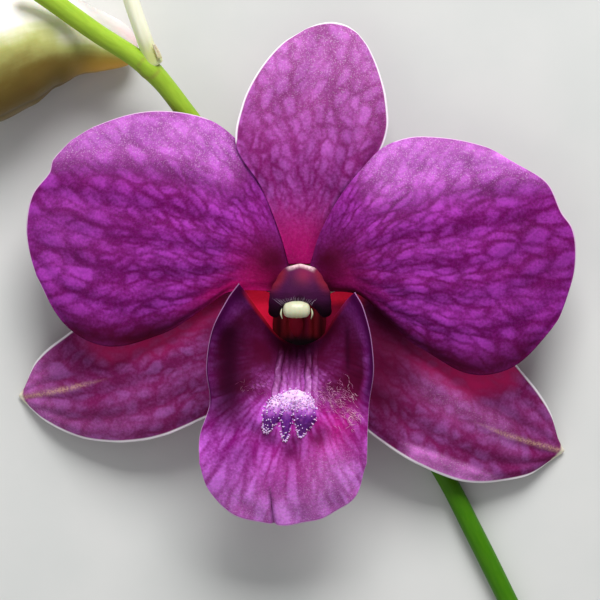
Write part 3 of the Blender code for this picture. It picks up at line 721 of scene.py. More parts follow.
def stalk_mesh(name, route, radius, steps, sides, swell):
    """Round stalk along a route, with beveled cut ends; swell gives extra radius by place."""
    path = smooth_path(route, steps)
    slope = unit(np.gradient(path, axis=0))
    side = unit(np.cross(slope, (0.0, 0.0, 1.0)))
    over = np.cross(side, slope)
    bm = bmesh.new()
    bmesh.ops.create_grid(bm, x_segments=sides, y_segments=steps, size=1.0)
    mesh = bpy.data.meshes.new(name)
    bm.to_mesh(mesh)
    flat = read_vectors(mesh)
    angle = (flat[:, 0] + 1) * math.pi
    row = np.rint((flat[:, 1] + 1) / 2 * steps).astype(int)
    reach = radius + swell(path[row], row / steps, angle)
    offset = side[row] * np.cos(angle)[:, None] + over[row] * np.sin(angle)[:, None]
    points = path[row] + offset * reach[:, None]
    whole = np.linalg.norm(np.diff(path, axis=0), axis=1).sum()
    grain = round_grain(angle, 1.0, row / steps * whole)
    place_points(mesh, points)
    add_masks(mesh, {"grain": grain, "along": row / steps, "cut": np.zeros(len(row))})
    bm.clear()
    bm.from_mesh(mesh)
    bmesh.ops.remove_doubles(bm, verts=bm.verts, dist=1e-7)
    caps = bmesh.ops.holes_fill(bm, edges=[edge for edge in bm.edges if edge.is_boundary])["faces"]
    bmesh.ops.recalc_face_normals(bm, faces=bm.faces)
    rims = [edge for face in caps for edge in face.edges]
    bmesh.ops.bevel(
        bm, geom=rims, offset=0.08 * MM, offset_type="OFFSET", segments=2, profile=0.5,
        affect="EDGES", material=-1,
    )
    cut = bm.verts.layers.float["cut"]
    ends = [face for face in bm.faces if len(face.verts) > 4]
    inner = bmesh.ops.inset_region(bm, faces=ends, thickness=0.16 * MM, depth=-0.03 * MM)["faces"]
    for face in ends:
        for vert in face.verts:
            vert[cut] = 1.0
    for face in inner:
        for vert in face.verts:
            vert[cut] = max(vert[cut], 0.5)
    bmesh.ops.triangulate(bm, faces=ends)
    bm.to_mesh(mesh)
    bm.free()
    return mesh


def add_node(tree, kind, inputs=None, **settings):
    """New node with its settings; an input is a socket to link or a plain value."""
    node = tree.nodes.new(kind)
    for name, value in settings.items():
        setattr(node, name, value)
    for name, value in (inputs or {}).items():
        if isinstance(value, bpy.types.NodeSocket):
            tree.links.new(value, node.inputs[name])
        else:
            node.inputs[name].default_value = value
    return node


def mixed(tree, share, first, second, blend_type="MIX"):
    """Colour between two colours."""
    node = tree.nodes.new("ShaderNodeMix")
    node.data_type = "RGBA"
    node.blend_type = blend_type
    for index, value in ((0, share), (6, first), (7, second)):
        if isinstance(value, bpy.types.NodeSocket):
            tree.links.new(value, node.inputs[index])
        elif index:
            node.inputs[index].default_value = (*tuple(value)[:3], 1.0)
        else:
            node.inputs[index].default_value = value
    return node.outputs[2]


def sum_up(tree, operation, first, second):
    """Result of one calculation."""
    return add_node(tree, "ShaderNodeMath", {0: first, 1: second}, operation=operation).outputs[0]


def stepped(tree, value, low, high, start=0.0, stop=1.0):
    """Smooth step of a value from low to high."""
    inputs = {"Value": value, "From Min": low, "From Max": high, "To Min": start, "To Max": stop}
    return add_node(
        tree, "ShaderNodeMapRange", inputs, interpolation_type="SMOOTHSTEP"
    ).outputs["Result"]


def mask(tree, name):
    """Number kept on the vertices."""
    return add_node(tree, "ShaderNodeAttribute", attribute_name=name).outputs["Fac"]


def masked(tree, shown, *layers):
    """Colour with others laid over it, each where the mask of its name says."""
    for name, tint in layers:
        shown = mixed(tree, mask(tree, name), shown, tint)
    return shown


def object_place(tree):
    """Place on the object."""
    return tree.nodes.new("ShaderNodeTexCoord").outputs["Object"]


def new_group(name, inputs, outputs):
    """Shader node group with named sockets."""
    group = bpy.data.node_groups.new(name, "ShaderNodeTree")
    for label, value in inputs.items():
        kind = "NodeSocketFloat"
        if value is None:
            kind = "NodeSocketVector"
        elif not isinstance(value, float):
            kind = "NodeSocketColor"
        socket = group.interface.new_socket(name=label, in_out="INPUT", socket_type=kind)
        if kind == "NodeSocketFloat":
            socket.default_value = value
        elif kind == "NodeSocketColor":
            socket.default_value = (*value, 1.0)
    for label, kind in outputs.items():
        group.interface.new_socket(name=label, in_out="OUTPUT", socket_type=kind)
    entry = group.nodes.new("NodeGroupInput").outputs
    leave = group.nodes.new("NodeGroupOutput").inputs
    return group, entry, leave


def noise(tree, vector, scale, detail=2.0):
    """Soft noise between about 0.3 and 0.7."""
    return add_node(
        tree, "ShaderNodeTexNoise", {"Vector": vector, "Scale": scale, "Detail": detail}
    ).outputs["Fac"]


def skin_group():
    """Skin of a floral leaf: vein net, mottle, painted sparkle of tiny cells, painted shade in the
    hollows, and a pale rim that is partly painted rim light.
    """
    name = "floral_skin"
    if name in bpy.data.node_groups:
        return bpy.data.node_groups[name]
    inputs = {
        "Net": 0.5, "Lit": 0.0, "Blush": 0.0, "Hollow": 0.0, "Edge": 5.0, "Sparkle": 0.5,
        "Rim Width": 0.16, "Vein Colour": (0.2, 0.01, 0.1), "Cell Colour": (0.4, 0.05, 0.4),
        "Pale Colour": (0.6, 0.2, 0.6), "Blush Colour": (0.4, 0.01, 0.1),
        "Hollow Colour": (0.1, 0.0, 0.02), "Rim Colour": (0.9, 0.7, 0.9),
    }
    outputs = {
        "Colour": "NodeSocketColor", "Roughness": "NodeSocketFloat", "Height": "NodeSocketFloat",
    }
    tree, entry, leave = new_group(name, inputs, outputs)
    where = object_place(tree)
    broad = noise(tree, where, 210.0, 3.0)
    fine = noise(tree, where, 2600.0, 2.0)
    glint = stepped(tree, noise(tree, where, 6000.0, 1.0), 0.53, 0.74)
    wobble = sum_up(tree, "MULTIPLY", sum_up(tree, "SUBTRACT", fine, 0.5), 0.5)
    net = stepped(tree, sum_up(tree, "ADD", entry["Net"], wobble), 0.0, 0.95)
    skin = mixed(tree, net, entry["Vein Colour"], entry["Cell Colour"])
    # Painted light: the pale colour laid where the lit mask says, more on the cells than on the
    # veins.
    pale = sum_up(tree, "MULTIPLY", entry["Lit"], stepped(tree, broad, 0.25, 0.62, 0.75, 1.0))
    pale = sum_up(tree, "MULTIPLY", pale, stepped(tree, entry["Net"], 0.0, 0.8, 0.6, 1.0))
    skin = mixed(tree, pale, skin, entry["Pale Colour"])
    skin = mixed(tree, entry["Blush"], skin, entry["Blush Colour"])
    shade = stepped(tree, broad, 0.3, 0.7, 0.88, 1.1)
    shade = sum_up(tree, "MULTIPLY", shade, stepped(tree, fine, 0.3, 0.7, 0.9, 1.1))
    shade_colour = add_node(
        tree, "ShaderNodeCombineColor", {"Red": shade, "Green": shade, "Blue": shade}
    ).outputs[0]
    skin = mixed(tree, 1.0, skin, shade_colour, "MULTIPLY")
    # Painted highlight: tiny glints in the rim colour, strongest where the lit mask is high.
    shine = sum_up(tree, "MULTIPLY", glint, entry["Sparkle"])
    shine = sum_up(tree, "MULTIPLY", shine, stepped(tree, entry["Lit"], 0.0, 0.7, 0.05, 1.0))
    skin = mixed(tree, shine, skin, entry["Rim Colour"])
    # Painted shade: the dark colour laid where its mask says.
    dark = sum_up(tree, "MULTIPLY", entry["Hollow"], stepped(tree, broad, 0.7, 0.35, 0.9, 1.0))
    skin = mixed(tree, dark, skin, entry["Hollow Colour"])
    # Pale rim along the margin: partly the thin margin's own paleness and partly painted rim light.
    margin = sum_up(tree, "DIVIDE", entry["Edge"], entry["Rim Width"])
    skin = mixed(tree, stepped(tree, margin, 1.15, 0.5), skin, entry["Rim Colour"])
    tree.links.new(skin, leave["Colour"])
    tree.links.new(stepped(tree, glint, 0.0, 1.0, 0.62, 0.5), leave["Roughness"])
    tree.links.new(sum_up(tree, "ADD", sum_up(tree, "MULTIPLY", glint, 0.3), fine), leave["Height"])
    return tree


def grain_group():
    """Lengthwise streaks that follow a stalk or bud, and a fine pitted grain."""
    name = "stalk_grain"
    if name in bpy.data.node_groups:
        return bpy.data.node_groups[name]
    outputs = {
        "Streak": "NodeSocketFloat", "Patch": "NodeSocketFloat", "Height": "NodeSocketFloat",
    }
    tree, entry, leave = new_group(name, {"Grain": None, "Streaks": 6.0, "Stretch": 0.12}, outputs)
    long_way = add_node(tree, "ShaderNodeCombineXYZ", {"X": 1.0, "Y": 1.0, "Z": entry["Stretch"]})
    inputs = {0: entry["Grain"], 1: long_way.outputs[0]}
    drawn = add_node(tree, "ShaderNodeVectorMath", inputs, operation="MULTIPLY").outputs[0]
    streak = noise(tree, drawn, entry["Streaks"], 3.0)
    where = object_place(tree)
    patch = noise(tree, where, 330.0, 3.0)
    pits = noise(tree, where, 3200.0, 2.0)
    tree.links.new(stepped(tree, streak, 0.32, 0.68), leave["Streak"])
    tree.links.new(stepped(tree, patch, 0.3, 0.7), leave["Patch"])
    height = sum_up(tree, "ADD", sum_up(tree, "MULTIPLY", streak, 1.5), pits)
    tree.links.new(height, leave["Height"])
    return tree


def add_grain(tree, streaks, stretch):
    """Outputs of the stalk grain along the piece's own grain attribute."""
    own = add_node(tree, "ShaderNodeAttribute", attribute_name="grain").outputs["Vector"]
    inputs = {"Grain": own, "Streaks": streaks, "Stretch": stretch}
    return add_node(tree, "ShaderNodeGroup", inputs, node_tree=grain_group()).outputs


def new_finish(name, roughness, specular, **constants):
    """Material with its shader's plain values set."""
    finish = bpy.data.materials.new(name)
    finish.use_nodes = True
    shader = finish.node_tree.nodes["Principled BSDF"]
    shader.inputs["Roughness"].default_value = roughness
    shader.inputs["Specular IOR Level"].default_value = specular
    for label, value in constants.items():
        shader.inputs[label.replace("_", " ")].default_value = value
    return finish, finish.node_tree, shader


def add_bump(tree, shader, height, strength, distance):
    """Low relief from a height."""
    inputs = {"Height": height, "Strength": strength, "Distance": distance * MM}
    bump = add_node(tree, "ShaderNodeBump", inputs)
    tree.links.new(bump.outputs["Normal"], shader.inputs["Normal"])


def petal_finish(name, tints, sparkle, rim_width, extra=None, glow=None):
    """Finish of a floral leaf; tints are its cell, vein, painted light, blush, painted shade and
    rim colours.
    """
    finish, tree, shader = new_finish(
        name, 0.6, 0.05, Subsurface_Weight=0.12, Subsurface_Scale=0.0012,
        Subsurface_Radius=(1.0, 0.2, 0.7),
    )
    skin = add_node(tree, "ShaderNodeGroup", node_tree=skin_group())
    for label in ("Net", "Lit", "Blush", "Hollow", "Edge"):
        tree.links.new(mask(tree, label.lower()), skin.inputs[label])
    for label, tint in zip(("Cell", "Vein", "Pale", "Blush", "Hollow", "Rim"), tints, strict=True):
        skin.inputs[label + " Colour"].default_value = (*tint, 1.0)
    skin.inputs["Sparkle"].default_value = sparkle
    skin.inputs["Rim Width"].default_value = rim_width
    shown = skin.outputs["Colour"]
    if extra:
        shown = extra(tree, shown)
    tree.links.new(shown, shader.inputs["Base Color"])
    tree.links.new(skin.outputs["Roughness"], shader.inputs["Roughness"])
    # Painted glow: emission where the glow mask says, standing in for light coming through the
    # blade.
    if glow:
        painted_glow = mixed(tree, mask(tree, "glow"), (0.0, 0.0, 0.0), glow)
        tree.links.new(painted_glow, shader.inputs["Emission Color"])
        shader.inputs["Emission Strength"].default_value = 1.0
    add_bump(tree, shader, skin.outputs["Height"], 0.22, 0.05)
    return finish


def petal_masks(side):
    """Where a petal is lit, crimson or in painted shade; side is -1 for the left one and 1 for the
    right.
    """
    def masks(points, place, t, edge, back):
        lit = 0.88 * ease(place, -0.3, -0.92) * ease(t, 0.3, 0.55)
        under = ease(place, 0.68, 0.95) * ease(t, 0.95, 0.7)
        blush = 0.9 * ease(t, 0.36, 0.06) * ease(place, -0.9, 0.5)
        # Painted shade in the hollows by the column and along the rolled-under lower margin.
        hollow = add_spots(points, (0.97, side * 3.8, 5.4, 3.5), (0.9, side * 3.0, 1.6, 1.5))
        if side > 0:
            blush *= 0.7
            hollow += 0.85 * under
            hollow += add_spots(points, (0.2, 33.0, 6.0, 6.0), (0.25, 9.5, 5.0, 4.5))
        else:
            blush = np.maximum(blush, 0.9 * ease(t, 0.46, 0.14) * ease(place, 0.3, 0.85))
            hollow += 0.95 * under * ease(t, 0.16, 0.4)
            lit += 0.07 * spot(points, -32.5, 9.5, 7.0)
        # bare takes the pale rim away near the base and where the lower margin lies in shade.
        bare = ease(t, 0.32, 0.14) + under + ease(place, -0.6, -0.9) * ease(t, 0.56, 0.48)
        return {
            "lit": np.clip(lit, 0, 1), "blush": blush, "hollow": np.clip(hollow, 0, 1),
            "edge": edge + bare,
        }
    return masks


def dorsal_masks(points, place, t, edge, back):
    """Where the dorsal sepal is lit, crimson or in painted shade."""
    return {
        "lit": 0.5 * ease(t, 0.35, 0.95), "blush": 0.95 * ease(t, 0.3, 0.05),
        "hollow": 0.7 * spot(points, 0.0, 3.9, 1.3), "edge": edge + ease(t, 0.5, 0.42),
    }


def line_at(x, side, knots):
    """Height in plan, at x, of a line given by knots that run outwards on their side."""
    return np.interp(side * x, [side * knot[0] for knot in knots], [knot[1] for knot in knots])


def lateral_masks(side):
    """Where a lateral sepal is lit, crimson or in painted shade, and where it gets a painted glow
    that stands for light coming through it.
    """
    fold = SEPAL_CREASES[side > 0]
    petal = (LEFT_PETAL, RIGHT_PETAL)[side > 0]["right"]

    def masks(points, place, t, edge, back):
        x, y = points[:, 0], points[:, 1]
        # red marks the crimson base, brightened as painted light coming through it.
        red = ease(t, 0.16, 0.08)
        from_petal = line_at(x, side, petal) - y
        # Painted light: crimson beside the petal, where light comes through it.
        crimson = ease(t, 0.1, 0.3) * ease(edge, 0.2, 0.5)
        crease = ease(side * x, side * fold[0][0], side * fold[1][0])
        crease = crease * hump(y, line_at(x, side, fold), 0.10 + 0.20 * crease)
        if side > 0:
            lit = ease(-19.2 - 0.38 * (x - 14.9) - y, -0.3, 0.7)
            lit *= ease(x, 13.0, 16.0) * ease(x, 31.0, 22.0)
            # Painted sheen: a light streak along the middle of the right sepal.
            sheen = hump(y + 10.1 + 0.545 * (x - 13.5), 0, 2.2)
            lit += 0.35 * sheen * ease(x, 13.0, 18.5) * ease(x, 32.0, 27.0)
            # Painted shade in the hollow beside the lip.
            hollow = 0.97 * ease(t, 0.09, 0.2) * ease(t, 0.52, 0.25) * ease(place, 0.95, 0.5)
            crimson *= ease(from_petal, 4.8, 1.6) * ease(x, 32.5, 27.5) * ease(x, 11.0, 25.0)
            # Painted shade on the right sepal's red base, below the bloom's middle.
            base_shade = 0.85 * red * ease(y, 0.4, -0.9)
            hollow = np.maximum(hollow, base_shade)
            glow = (1 - base_shade) * red
        else:
            lit = 0.2 * ease(place, 0.2, 0.9) * ease(t, 0.3, 0.8) + 0.4 * ease(t, 0.7, 1.0)
            # Painted shade near the base.
            hollow = 0.7 * ease(t, 0.09, 0.2) * ease(t, 0.36, 0.2)
            crimson *= 0.75 * ease(from_petal, 4.0, 0.6) * ease(x, -31.5, -26.5)
            glow = red
        # glow is the painted glow, on the red base and faintly on the crimson beside the petal.
        return {
            "lit": np.clip(lit, 0, 1), "blush": red, "hollow": hollow, "crimson": crimson,
            "crease": crease, "tip": ease(t, 0.965, 0.985), "glow": np.maximum(glow, 0.2 * crimson),
        }
    return masks


def lateral_extra(tree, shown):
    """Crimson painted where light comes through a petal onto the sepal, tan crease and cream point
    of a lateral sepal, over the skin.
    """
    net = stepped(tree, mask(tree, "net"), 0.0, 0.9, 1.0, 0.6)
    crimson = sum_up(tree, "MULTIPLY", mask(tree, "crimson"), net)
    shown = mixed(tree, crimson, shown, LATERAL_THROUGH_LIGHT)
    speck = stepped(tree, noise(tree, object_place(tree), 4200.0), 0.38, 0.6, 0.2, 0.75)
    crease = sum_up(tree, "MULTIPLY", mask(tree, "crease"), speck)
    shown = mixed(tree, crease, shown, CREASE_TAN)
    return masked(tree, shown, ("tip", TIP_CREAM))


def lip_keels(points):
    """Height of the keels, strength of the painted shadow lines beside them, both from 0 to 1, and
    the place along them.
    """
    x, y = points[:, 0], points[:, 1]
    start, stop = KEEL_REACH
    along = np.clip((start - y) / (start - stop), 0, 1.15)
    ridge = np.zeros(len(points))
    keel_shadow = np.zeros(len(points))
    for offset, width, height in KEELS:
        line = KEEL_MIDDLE + 0.83 * offset + (KEEL_DRIFT + 0.13 * offset) * along
        away = np.abs(x - (line + 0.08 * np.sin(2.1 * y + 3 * offset)))
        ridge = np.maximum(ridge, height * hump(away, 0, width))
        keel_shadow = np.maximum(keel_shadow, height * hump(away, 2.2 * width, 0.6 * width + 0.06))
    fade = ease(y, -5.9, -7.4) * ease(y, -14.8, -13.6)
    return ridge * fade, keel_shadow * fade, along


def lip_crease(x, y):
    """Depth of the crease in the middle lobe's end, from 0 to 1."""
    return hump(x + 3.9 + 0.12 * (y + 27), 0, 0.34) * ease(y, -24.6, -27.6)


def lip_lift(points, place, t, edge):
    """Keels, the crease of the middle lobe and its shallow folds."""
    sizes = bpy.context.scene.orchid_sizes
    x, y = points[:, 0], points[:, 1]
    keels = sizes.keel_height * lip_keels(points)[0]
    folds = 0.16 * np.sin(7.5 * np.arctan2(x + 0.8, -(y + 8.0)))
    folds *= ease(y, -17.0, -20.0) * ease(edge, 0, 2)
    hollows = add_spots(points, (0.7, 2.9, -18.3, 1.7), (0.7, -6.3, -17.6, 1.5))
    wave = 0.22 * np.sin(1.1 * x + 0.7 * y) * ease(edge, 1.6, 0.0) * ease(y, -15.0, -19.0)
    return keels - 0.6 * lip_crease(x, y) + folds - hollows + wave


def lip_masks(points, place, t, edge, back):
    """Where the lip has painted light or its pale patches, crimson, maroon with painted shade,
    violet, painted shade or its red edge.
    """
    x, y, z = points.T
    ridge, keel_shadow, along = lip_keels(points)
    lobe = ease(y, -16.5, -11.5)
    violet = lobe * ease(edge, 3.0, 0.5) * (1 - 0.8 * ease(x, -3.0, -8.0) * ease(y, -2.5, -7.5))
    violet = np.maximum(violet, lobe * ease(edge, 0.6, 0.3))
    floor = np.exp(-(((x + 0.7) / 3.6) ** 4)) * ease(y, -8.0, -13.0)
    mottle = add_spots(
        points, (0.8, -5.0, -11.4, 1.4), (0.6, -6.2, -12.9, 1.0), (0.7, 3.6, -10.8, 1.2),
        (0.6, 5.8, -13.0, 1.5),
    )
    gap, tone = cell_net(1.3 * x, 2.2 * y + 0.8 * x, 7)
    mottle *= ease(gap, 0.0, 0.4) * tone
    # Painted shade: dark stripes down the side lobes' walls, shadow lines beside the keels, the
    # crease, under the crest, in the throat and on the left lobe's tip.
    walls = 0.92 * hump(x, -9.6, 1.9) * ease(y, -1.5, -4.5) * ease(y, -17.5, -11.5)
    walls += 0.6 * hump(x, 6.6, 0.35) * ease(y, -2.5, -4.5) * ease(y, -10.5, -8.0)
    shade = np.maximum.reduce((
        walls,
        0.65 * keel_shadow,
        0.5 * lip_crease(x, y),
        add_spots(points, (0.6, -1.2, -19.9, 1.7)),
        add_spots(points, (0.95, 0.3, -5.4, 2.3)),
        add_spots(points, (0.6, -3.6, -18.4, 1.0), (0.7, -0.7, -18.8, 1.3)),
        add_spots(points, (0.7, -7.6, 0.8, 1.4)),
    ))
    # Painted shade in the side lobes and under the crest, over the lobes' own darker maroon.
    hollow = np.maximum.reduce((
        lobe * (1 - violet) * (1 - 0.85 * floor) * (1 - 0.7 * mottle),
        add_spots(points, (0.75, 2.4, -18.6, 1.5)),
        add_spots(points, (0.9, -9.6, -14.0, 4.2)),
        add_spots(points, (0.5, -5.4, -17.4, 2.0), (0.3, -7.8, -19.4, 2.6)),
    ))
    # Painted light on the keels' ridges and the lower lobe, a lighter floor between the keels, and
    # the pale mottled patches beside them.
    lit = np.clip(ridge * (0.55 + 0.6 * along), 0, 1) + 0.3 * floor * lobe + 0.5 * mottle
    lit += 0.35 * ease(y, -22.0, -29.0) + 0.14 * ease(y, -19.0, -23.0)
    lit += 0.35 * spot(points, 4.5, -22.5, 4.5)
    blush = add_spots(
        points, (0.85, 7.6, -11.6, 2.6), (0.6, 5.0, -17.0, 3.6), (0.3, -1.0, -21.5, 4.5)
    )
    red_edge = ease(back, 0.7, 0.1) * ease(z, 9.0, 11.5) * ease(z, 18.6, 16.2)
    red_edge *= 1 - 0.6 * ease(x, -1.0, 1.0)
    return {
        "lit": np.clip(lit, 0, 1), "blush": np.clip(blush * (1 - violet), 0, 1),
        "hollow": np.clip(hollow * (1 - 0.8 * ridge * along), 0, 1), "violet": violet,
        "red": red_edge, "shade": np.clip(shade, 0, 1),
    }


def lip_extra(tree, shown):
    """Violet band of the side lobes, their shade and the red edge by the column, over the skin."""
    colours = bpy.context.scene.orchid_colours
    band = stepped(tree, mask(tree, "edge"), 0.0, 0.1, 0.65, 1.0)
    band = sum_up(tree, "MULTIPLY", mask(tree, "violet"), band)
    shown = mixed(tree, band, shown, colours.lip_violet)
    return masked(tree, shown, ("shade", LIP_SHADE), ("red", LIP_RED_EDGE))


def column_finish():
    """Dark violet hood with a pale fuzzy rim, red sides, a blood red throat and painted deep shade.
    """
    finish, tree, shader = new_finish("column_violet", 0.62, 0.08)
    grain = add_grain(tree, 5.0, 0.3)
    shown = mixed(tree, grain["Patch"], bpy.context.scene.orchid_colours.hood, HOOD_PATCH)
    shown = masked(
        tree, shown, ("body", COLUMN_SIDE), ("red", COLUMN_RED), ("throat", THROAT_RED),
        ("night", THROAT_DEEP_SHADE),
    )
    rough = stepped(tree, grain["Height"], 0.8, 1.5, 0.5, 1.0)
    shown = mixed(tree, sum_up(tree, "MULTIPLY", mask(tree, "pale"), rough), shown, HOOD_FUZZ)
    tree.links.new(shown, shader.inputs["Base Color"])
    add_bump(tree, shader, grain["Height"], 0.4, 0.08)
    return finish


def stalk_finish(name, light, dark, layer, shaded_end=None):
    """Waxy stalk with faint lengthwise streaks; layer is a mask with its colour.

    older is the stalk's colour at its lower end; the colour darkens towards it along the stalk as
    painted shade.
    """
    finish, tree, shader = new_finish(
        name, 0.45, 0.15, Subsurface_Weight=0.08, Subsurface_Scale=0.001
    )
    grain = add_grain(tree, 3.2, 0.16)
    # Painted light and shade: lighter towards the stalk's upper end, darker towards its lower end.
    if shaded_end:
        light = mixed(tree, stepped(tree, mask(tree, "along"), 0.1, 0.95), shaded_end, light)
    shown = mixed(tree, stepped(tree, grain["Streak"], 0.0, 1.0, 0.16, 0.0), light, dark)
    shown = masked(tree, shown, layer)
    cut = mixed(tree, stepped(tree, mask(tree, "cut"), 0.4, 1.0), CUT_RIM, CUT_CORE)
    shown = mixed(tree, stepped(tree, mask(tree, "cut"), 0.05, 0.3), shown, cut)
    tree.links.new(shown, shader.inputs["Base Color"])
    rough = stepped(tree, grain["Patch"], 0.0, 1.0, 0.36, 0.5)
    tree.links.new(rough, shader.inputs["Roughness"])
    add_bump(tree, shader, grain["Height"], 0.2, 0.04)
    return finish


def bud_finish():
    """Waxy bud: pinkish white above, yellow green, olive brown below, partly its own colours and
    partly painted light above and painted shade below, with darker seams.
    """
    colours = bpy.context.scene.orchid_colours
    finish, tree, shader = new_finish(
        "bud_skin", 0.42, 0.35, Subsurface_Weight=0.15, Subsurface_Scale=0.002
    )
    grain = add_grain(tree, 0.9, 0.1)
    side = mask(tree, "side")
    for output, share in (("Streak", 0.08), ("Patch", 0.12)):
        drift = sum_up(tree, "SUBTRACT", grain[output], 0.5)
        side = sum_up(tree, "ADD", side, sum_up(tree, "MULTIPLY", drift, share))
    # Partly painted light and shade: olive below and pale above, by the side mask.
    shown = mixed(tree, stepped(tree, side, -0.52, 0.34), colours.bud_olive, colours.bud_green)
    shown = mixed(tree, stepped(tree, side, 0.02, 0.56), shown, colours.bud_pale)
    shown = masked(
        tree, shown, ("chin", BUD_CHIN), ("shoulder", BUD_SHOULDER), ("seam", BUD_SEAM),
        ("tip", BUD_TIP),
    )
    tree.links.new(shown, shader.inputs["Base Color"])
    rough = stepped(tree, grain["Patch"], 0.0, 1.0, 0.36, 0.52)
    tree.links.new(rough, shader.inputs["Roughness"])
    add_bump(tree, shader, grain["Height"], 0.3, 0.08)
    return finish


def crest_finish():
    """Fur of the crest: purple flesh, lilac and white towards the knobs' ends."""
    colours = bpy.context.scene.orchid_colours
    finish, tree, shader = new_finish(
        "crest_fur", 0.5, 0.3, Subsurface_Weight=0.2, Subsurface_Scale=0.0008
    )
    speck = noise(tree, object_place(tree), 1800.0, 3.0)
    drift = sum_up(tree, "MULTIPLY", sum_up(tree, "SUBTRACT", speck, 0.5), 0.6)
    share = sum_up(tree, "ADD", mask(tree, "tip"), drift)
    shown = mixed(tree, stepped(tree, share, 0.1, 0.5), colours.crest_purple, colours.crest_lilac)
    shown = mixed(tree, stepped(tree, share, 0.45, 0.95), shown, colours.crest_white)
    tree.links.new(shown, shader.inputs["Base Color"])
    add_bump(tree, shader, speck, 0.3, 0.05)
    return finish


def hair_finish():
    """Tan hairs, some darker, with painted shade on those at the lip's left side."""
    finish, tree, shader = new_finish("hair_tan", 0.45, 0.4)
    tone = stepped(tree, noise(tree, object_place(tree), 700.0), 0.35, 0.65)
    shown = masked(tree, mixed(tree, tone, HAIR_DARK, HAIR_LIGHT), ("hair_shade", HAIR_SHADED))
    tree.links.new(shown, shader.inputs["Base Color"])
    return finish


def cap_finish():
    """Waxy cream cap with a green middle, darker and purplish towards its lower side."""
    finish, tree, shader = new_finish(
        "cap_cream", 0.32, 0.45, Subsurface_Weight=0.2, Subsurface_Scale=0.001
    )
    speck = noise(tree, object_place(tree), 1500.0, 3.0)
    blotch = stepped(tree, speck, 0.25, 0.6, 0.6, 1.0)
    green = sum_up(tree, "MULTIPLY", mask(tree, "green"), blotch)
    shown = mixed(tree, green, bpy.context.scene.orchid_colours.cap, CAP_GREEN)
    shown = masked(tree, shown, ("lower_side", CAP_LOWER_SIDE))
    tree.links.new(shown, shader.inputs["Base Color"])
    add_bump(tree, shader, speck, 0.2, 0.05)
    return finish


def bristle_finish():
    """Pale mauve bristles."""
    finish, tree, shader = new_finish("bristle_pale", 0.45, 0.4)
    shown = mixed(tree, noise(tree, object_place(tree), 900.0), BRISTLE_DARK, BRISTLE_LIGHT)
    tree.links.new(shown, shader.inputs["Base Color"])
    return finish


def floor_finish():
    """Pale matt floor with faint clouds."""
    finish, tree, shader = new_finish("floor_pale", 0.8, 0.2)
    clouds = stepped(tree, noise(tree, object_place(tree), 60.0, 4.0), 0.3, 0.7)
    tree.links.new(mixed(tree, clouds, FLOOR_LOW, FLOOR_HIGH), shader.inputs["Base Color"])
    return finish


def lip_floor_at(spots, level):
    """Points on the lip's upper face above places in plan, with the way the face points."""
    across, along = 90, 90
    column, row = np.meshgrid(np.arange(across + 1), np.arange(along + 1), indexing="ij")
    points = blade_surface(LIP, across, along, column.ravel(), row.ravel())[0]
    grid = points.reshape(across + 1, along + 1, 3)
    normals = np.cross(np.gradient(grid, axis=1), np.gradient(grid, axis=0)).reshape(-1, 3)
    normals *= np.sign(normals[:, 2])[:, None] / np.linalg.norm(normals, axis=1)[:, None]
    found = []
    for x, y in spots:
        nearest = np.argmin(np.hypot(points[:, 0] - x, points[:, 1] - y))
        place = points[nearest] + normals[nearest] * level
        found.append((Vector(place), Vector(normals[nearest])))
    return found


def crest_folds(angle, t):
    """Scale of a crest fold's radius: low furrows that wind round it."""
    wound = 0.09 * np.sin(7 * angle + 14 * t) * np.sin(19 * t)
    return 1 + wound + 0.05 * np.sin(13 * angle - 9 * t)


def crest_mesh(rng):
    """Folds of the crest with knobs all over them, most where they are pale."""
    sizes = bpy.context.scene.orchid_sizes
    bm = bmesh.new()
    tip = bm.verts.layers.float.new("tip")
    knobs = []
    for route, widths in CREST_PODS:
        lifted = [place for place, _ in lip_floor_at(route, CREST_LIFT)]
        depths = [0.8 * width for width in widths]
        pod, points, _, _ = pod_mesh(
            "crest_pod", lifted, widths, depths, (0, 0, 1), (40, 36), crest_folds
        )
        pale = ease(points[:, 1], -16.4, -13.2)
        add_masks(pod, {"tip": 0.12 + 0.75 * pale})
        normals = read_vectors(pod, "normal")
        upper = normals[:, 2] > -0.1
        wanted = (0.2 + 1.5 * pale + ease(normals[:, 2], 0.75, 0.3)) * upper
        count = round(sizes.papilla_count * len(widths) / 15)
        for index in rng.choice(len(points), count, p=wanted / wanted.sum()):
            knobs.append((points[index], normals[index]))
        bm.from_mesh(pod)
        bpy.data.meshes.remove(pod)
    for place, normal in knobs:
        foot = Vector(place + BLOOM_AXIS) * MM
        out = (Vector(normal) + Vector(rng.normal(0, 0.25, 3))).normalized()
        long_way = sizes.papilla_length * MM * rng.uniform(0.5, 1.1)
        thick = rng.uniform(0.05, 0.10) * MM
        spin = out.to_track_quat("Z", "Y").to_matrix().to_4x4()
        shape = Matrix.Diagonal((thick, thick, long_way / 2, 1.0))
        knob = bmesh.ops.create_icosphere(
            bm, subdivisions=2, radius=1.0,
            matrix=Matrix.Translation(foot + out * long_way * 0.35) @ spin @ shape,
        )["verts"]
        for vert in knob:
            vert[tip] = min(max(0.5 + 0.7 * (vert.co - foot).dot(out) / long_way, 0.0), 1.0)
    return keep_mesh(bm, "lip_crest")


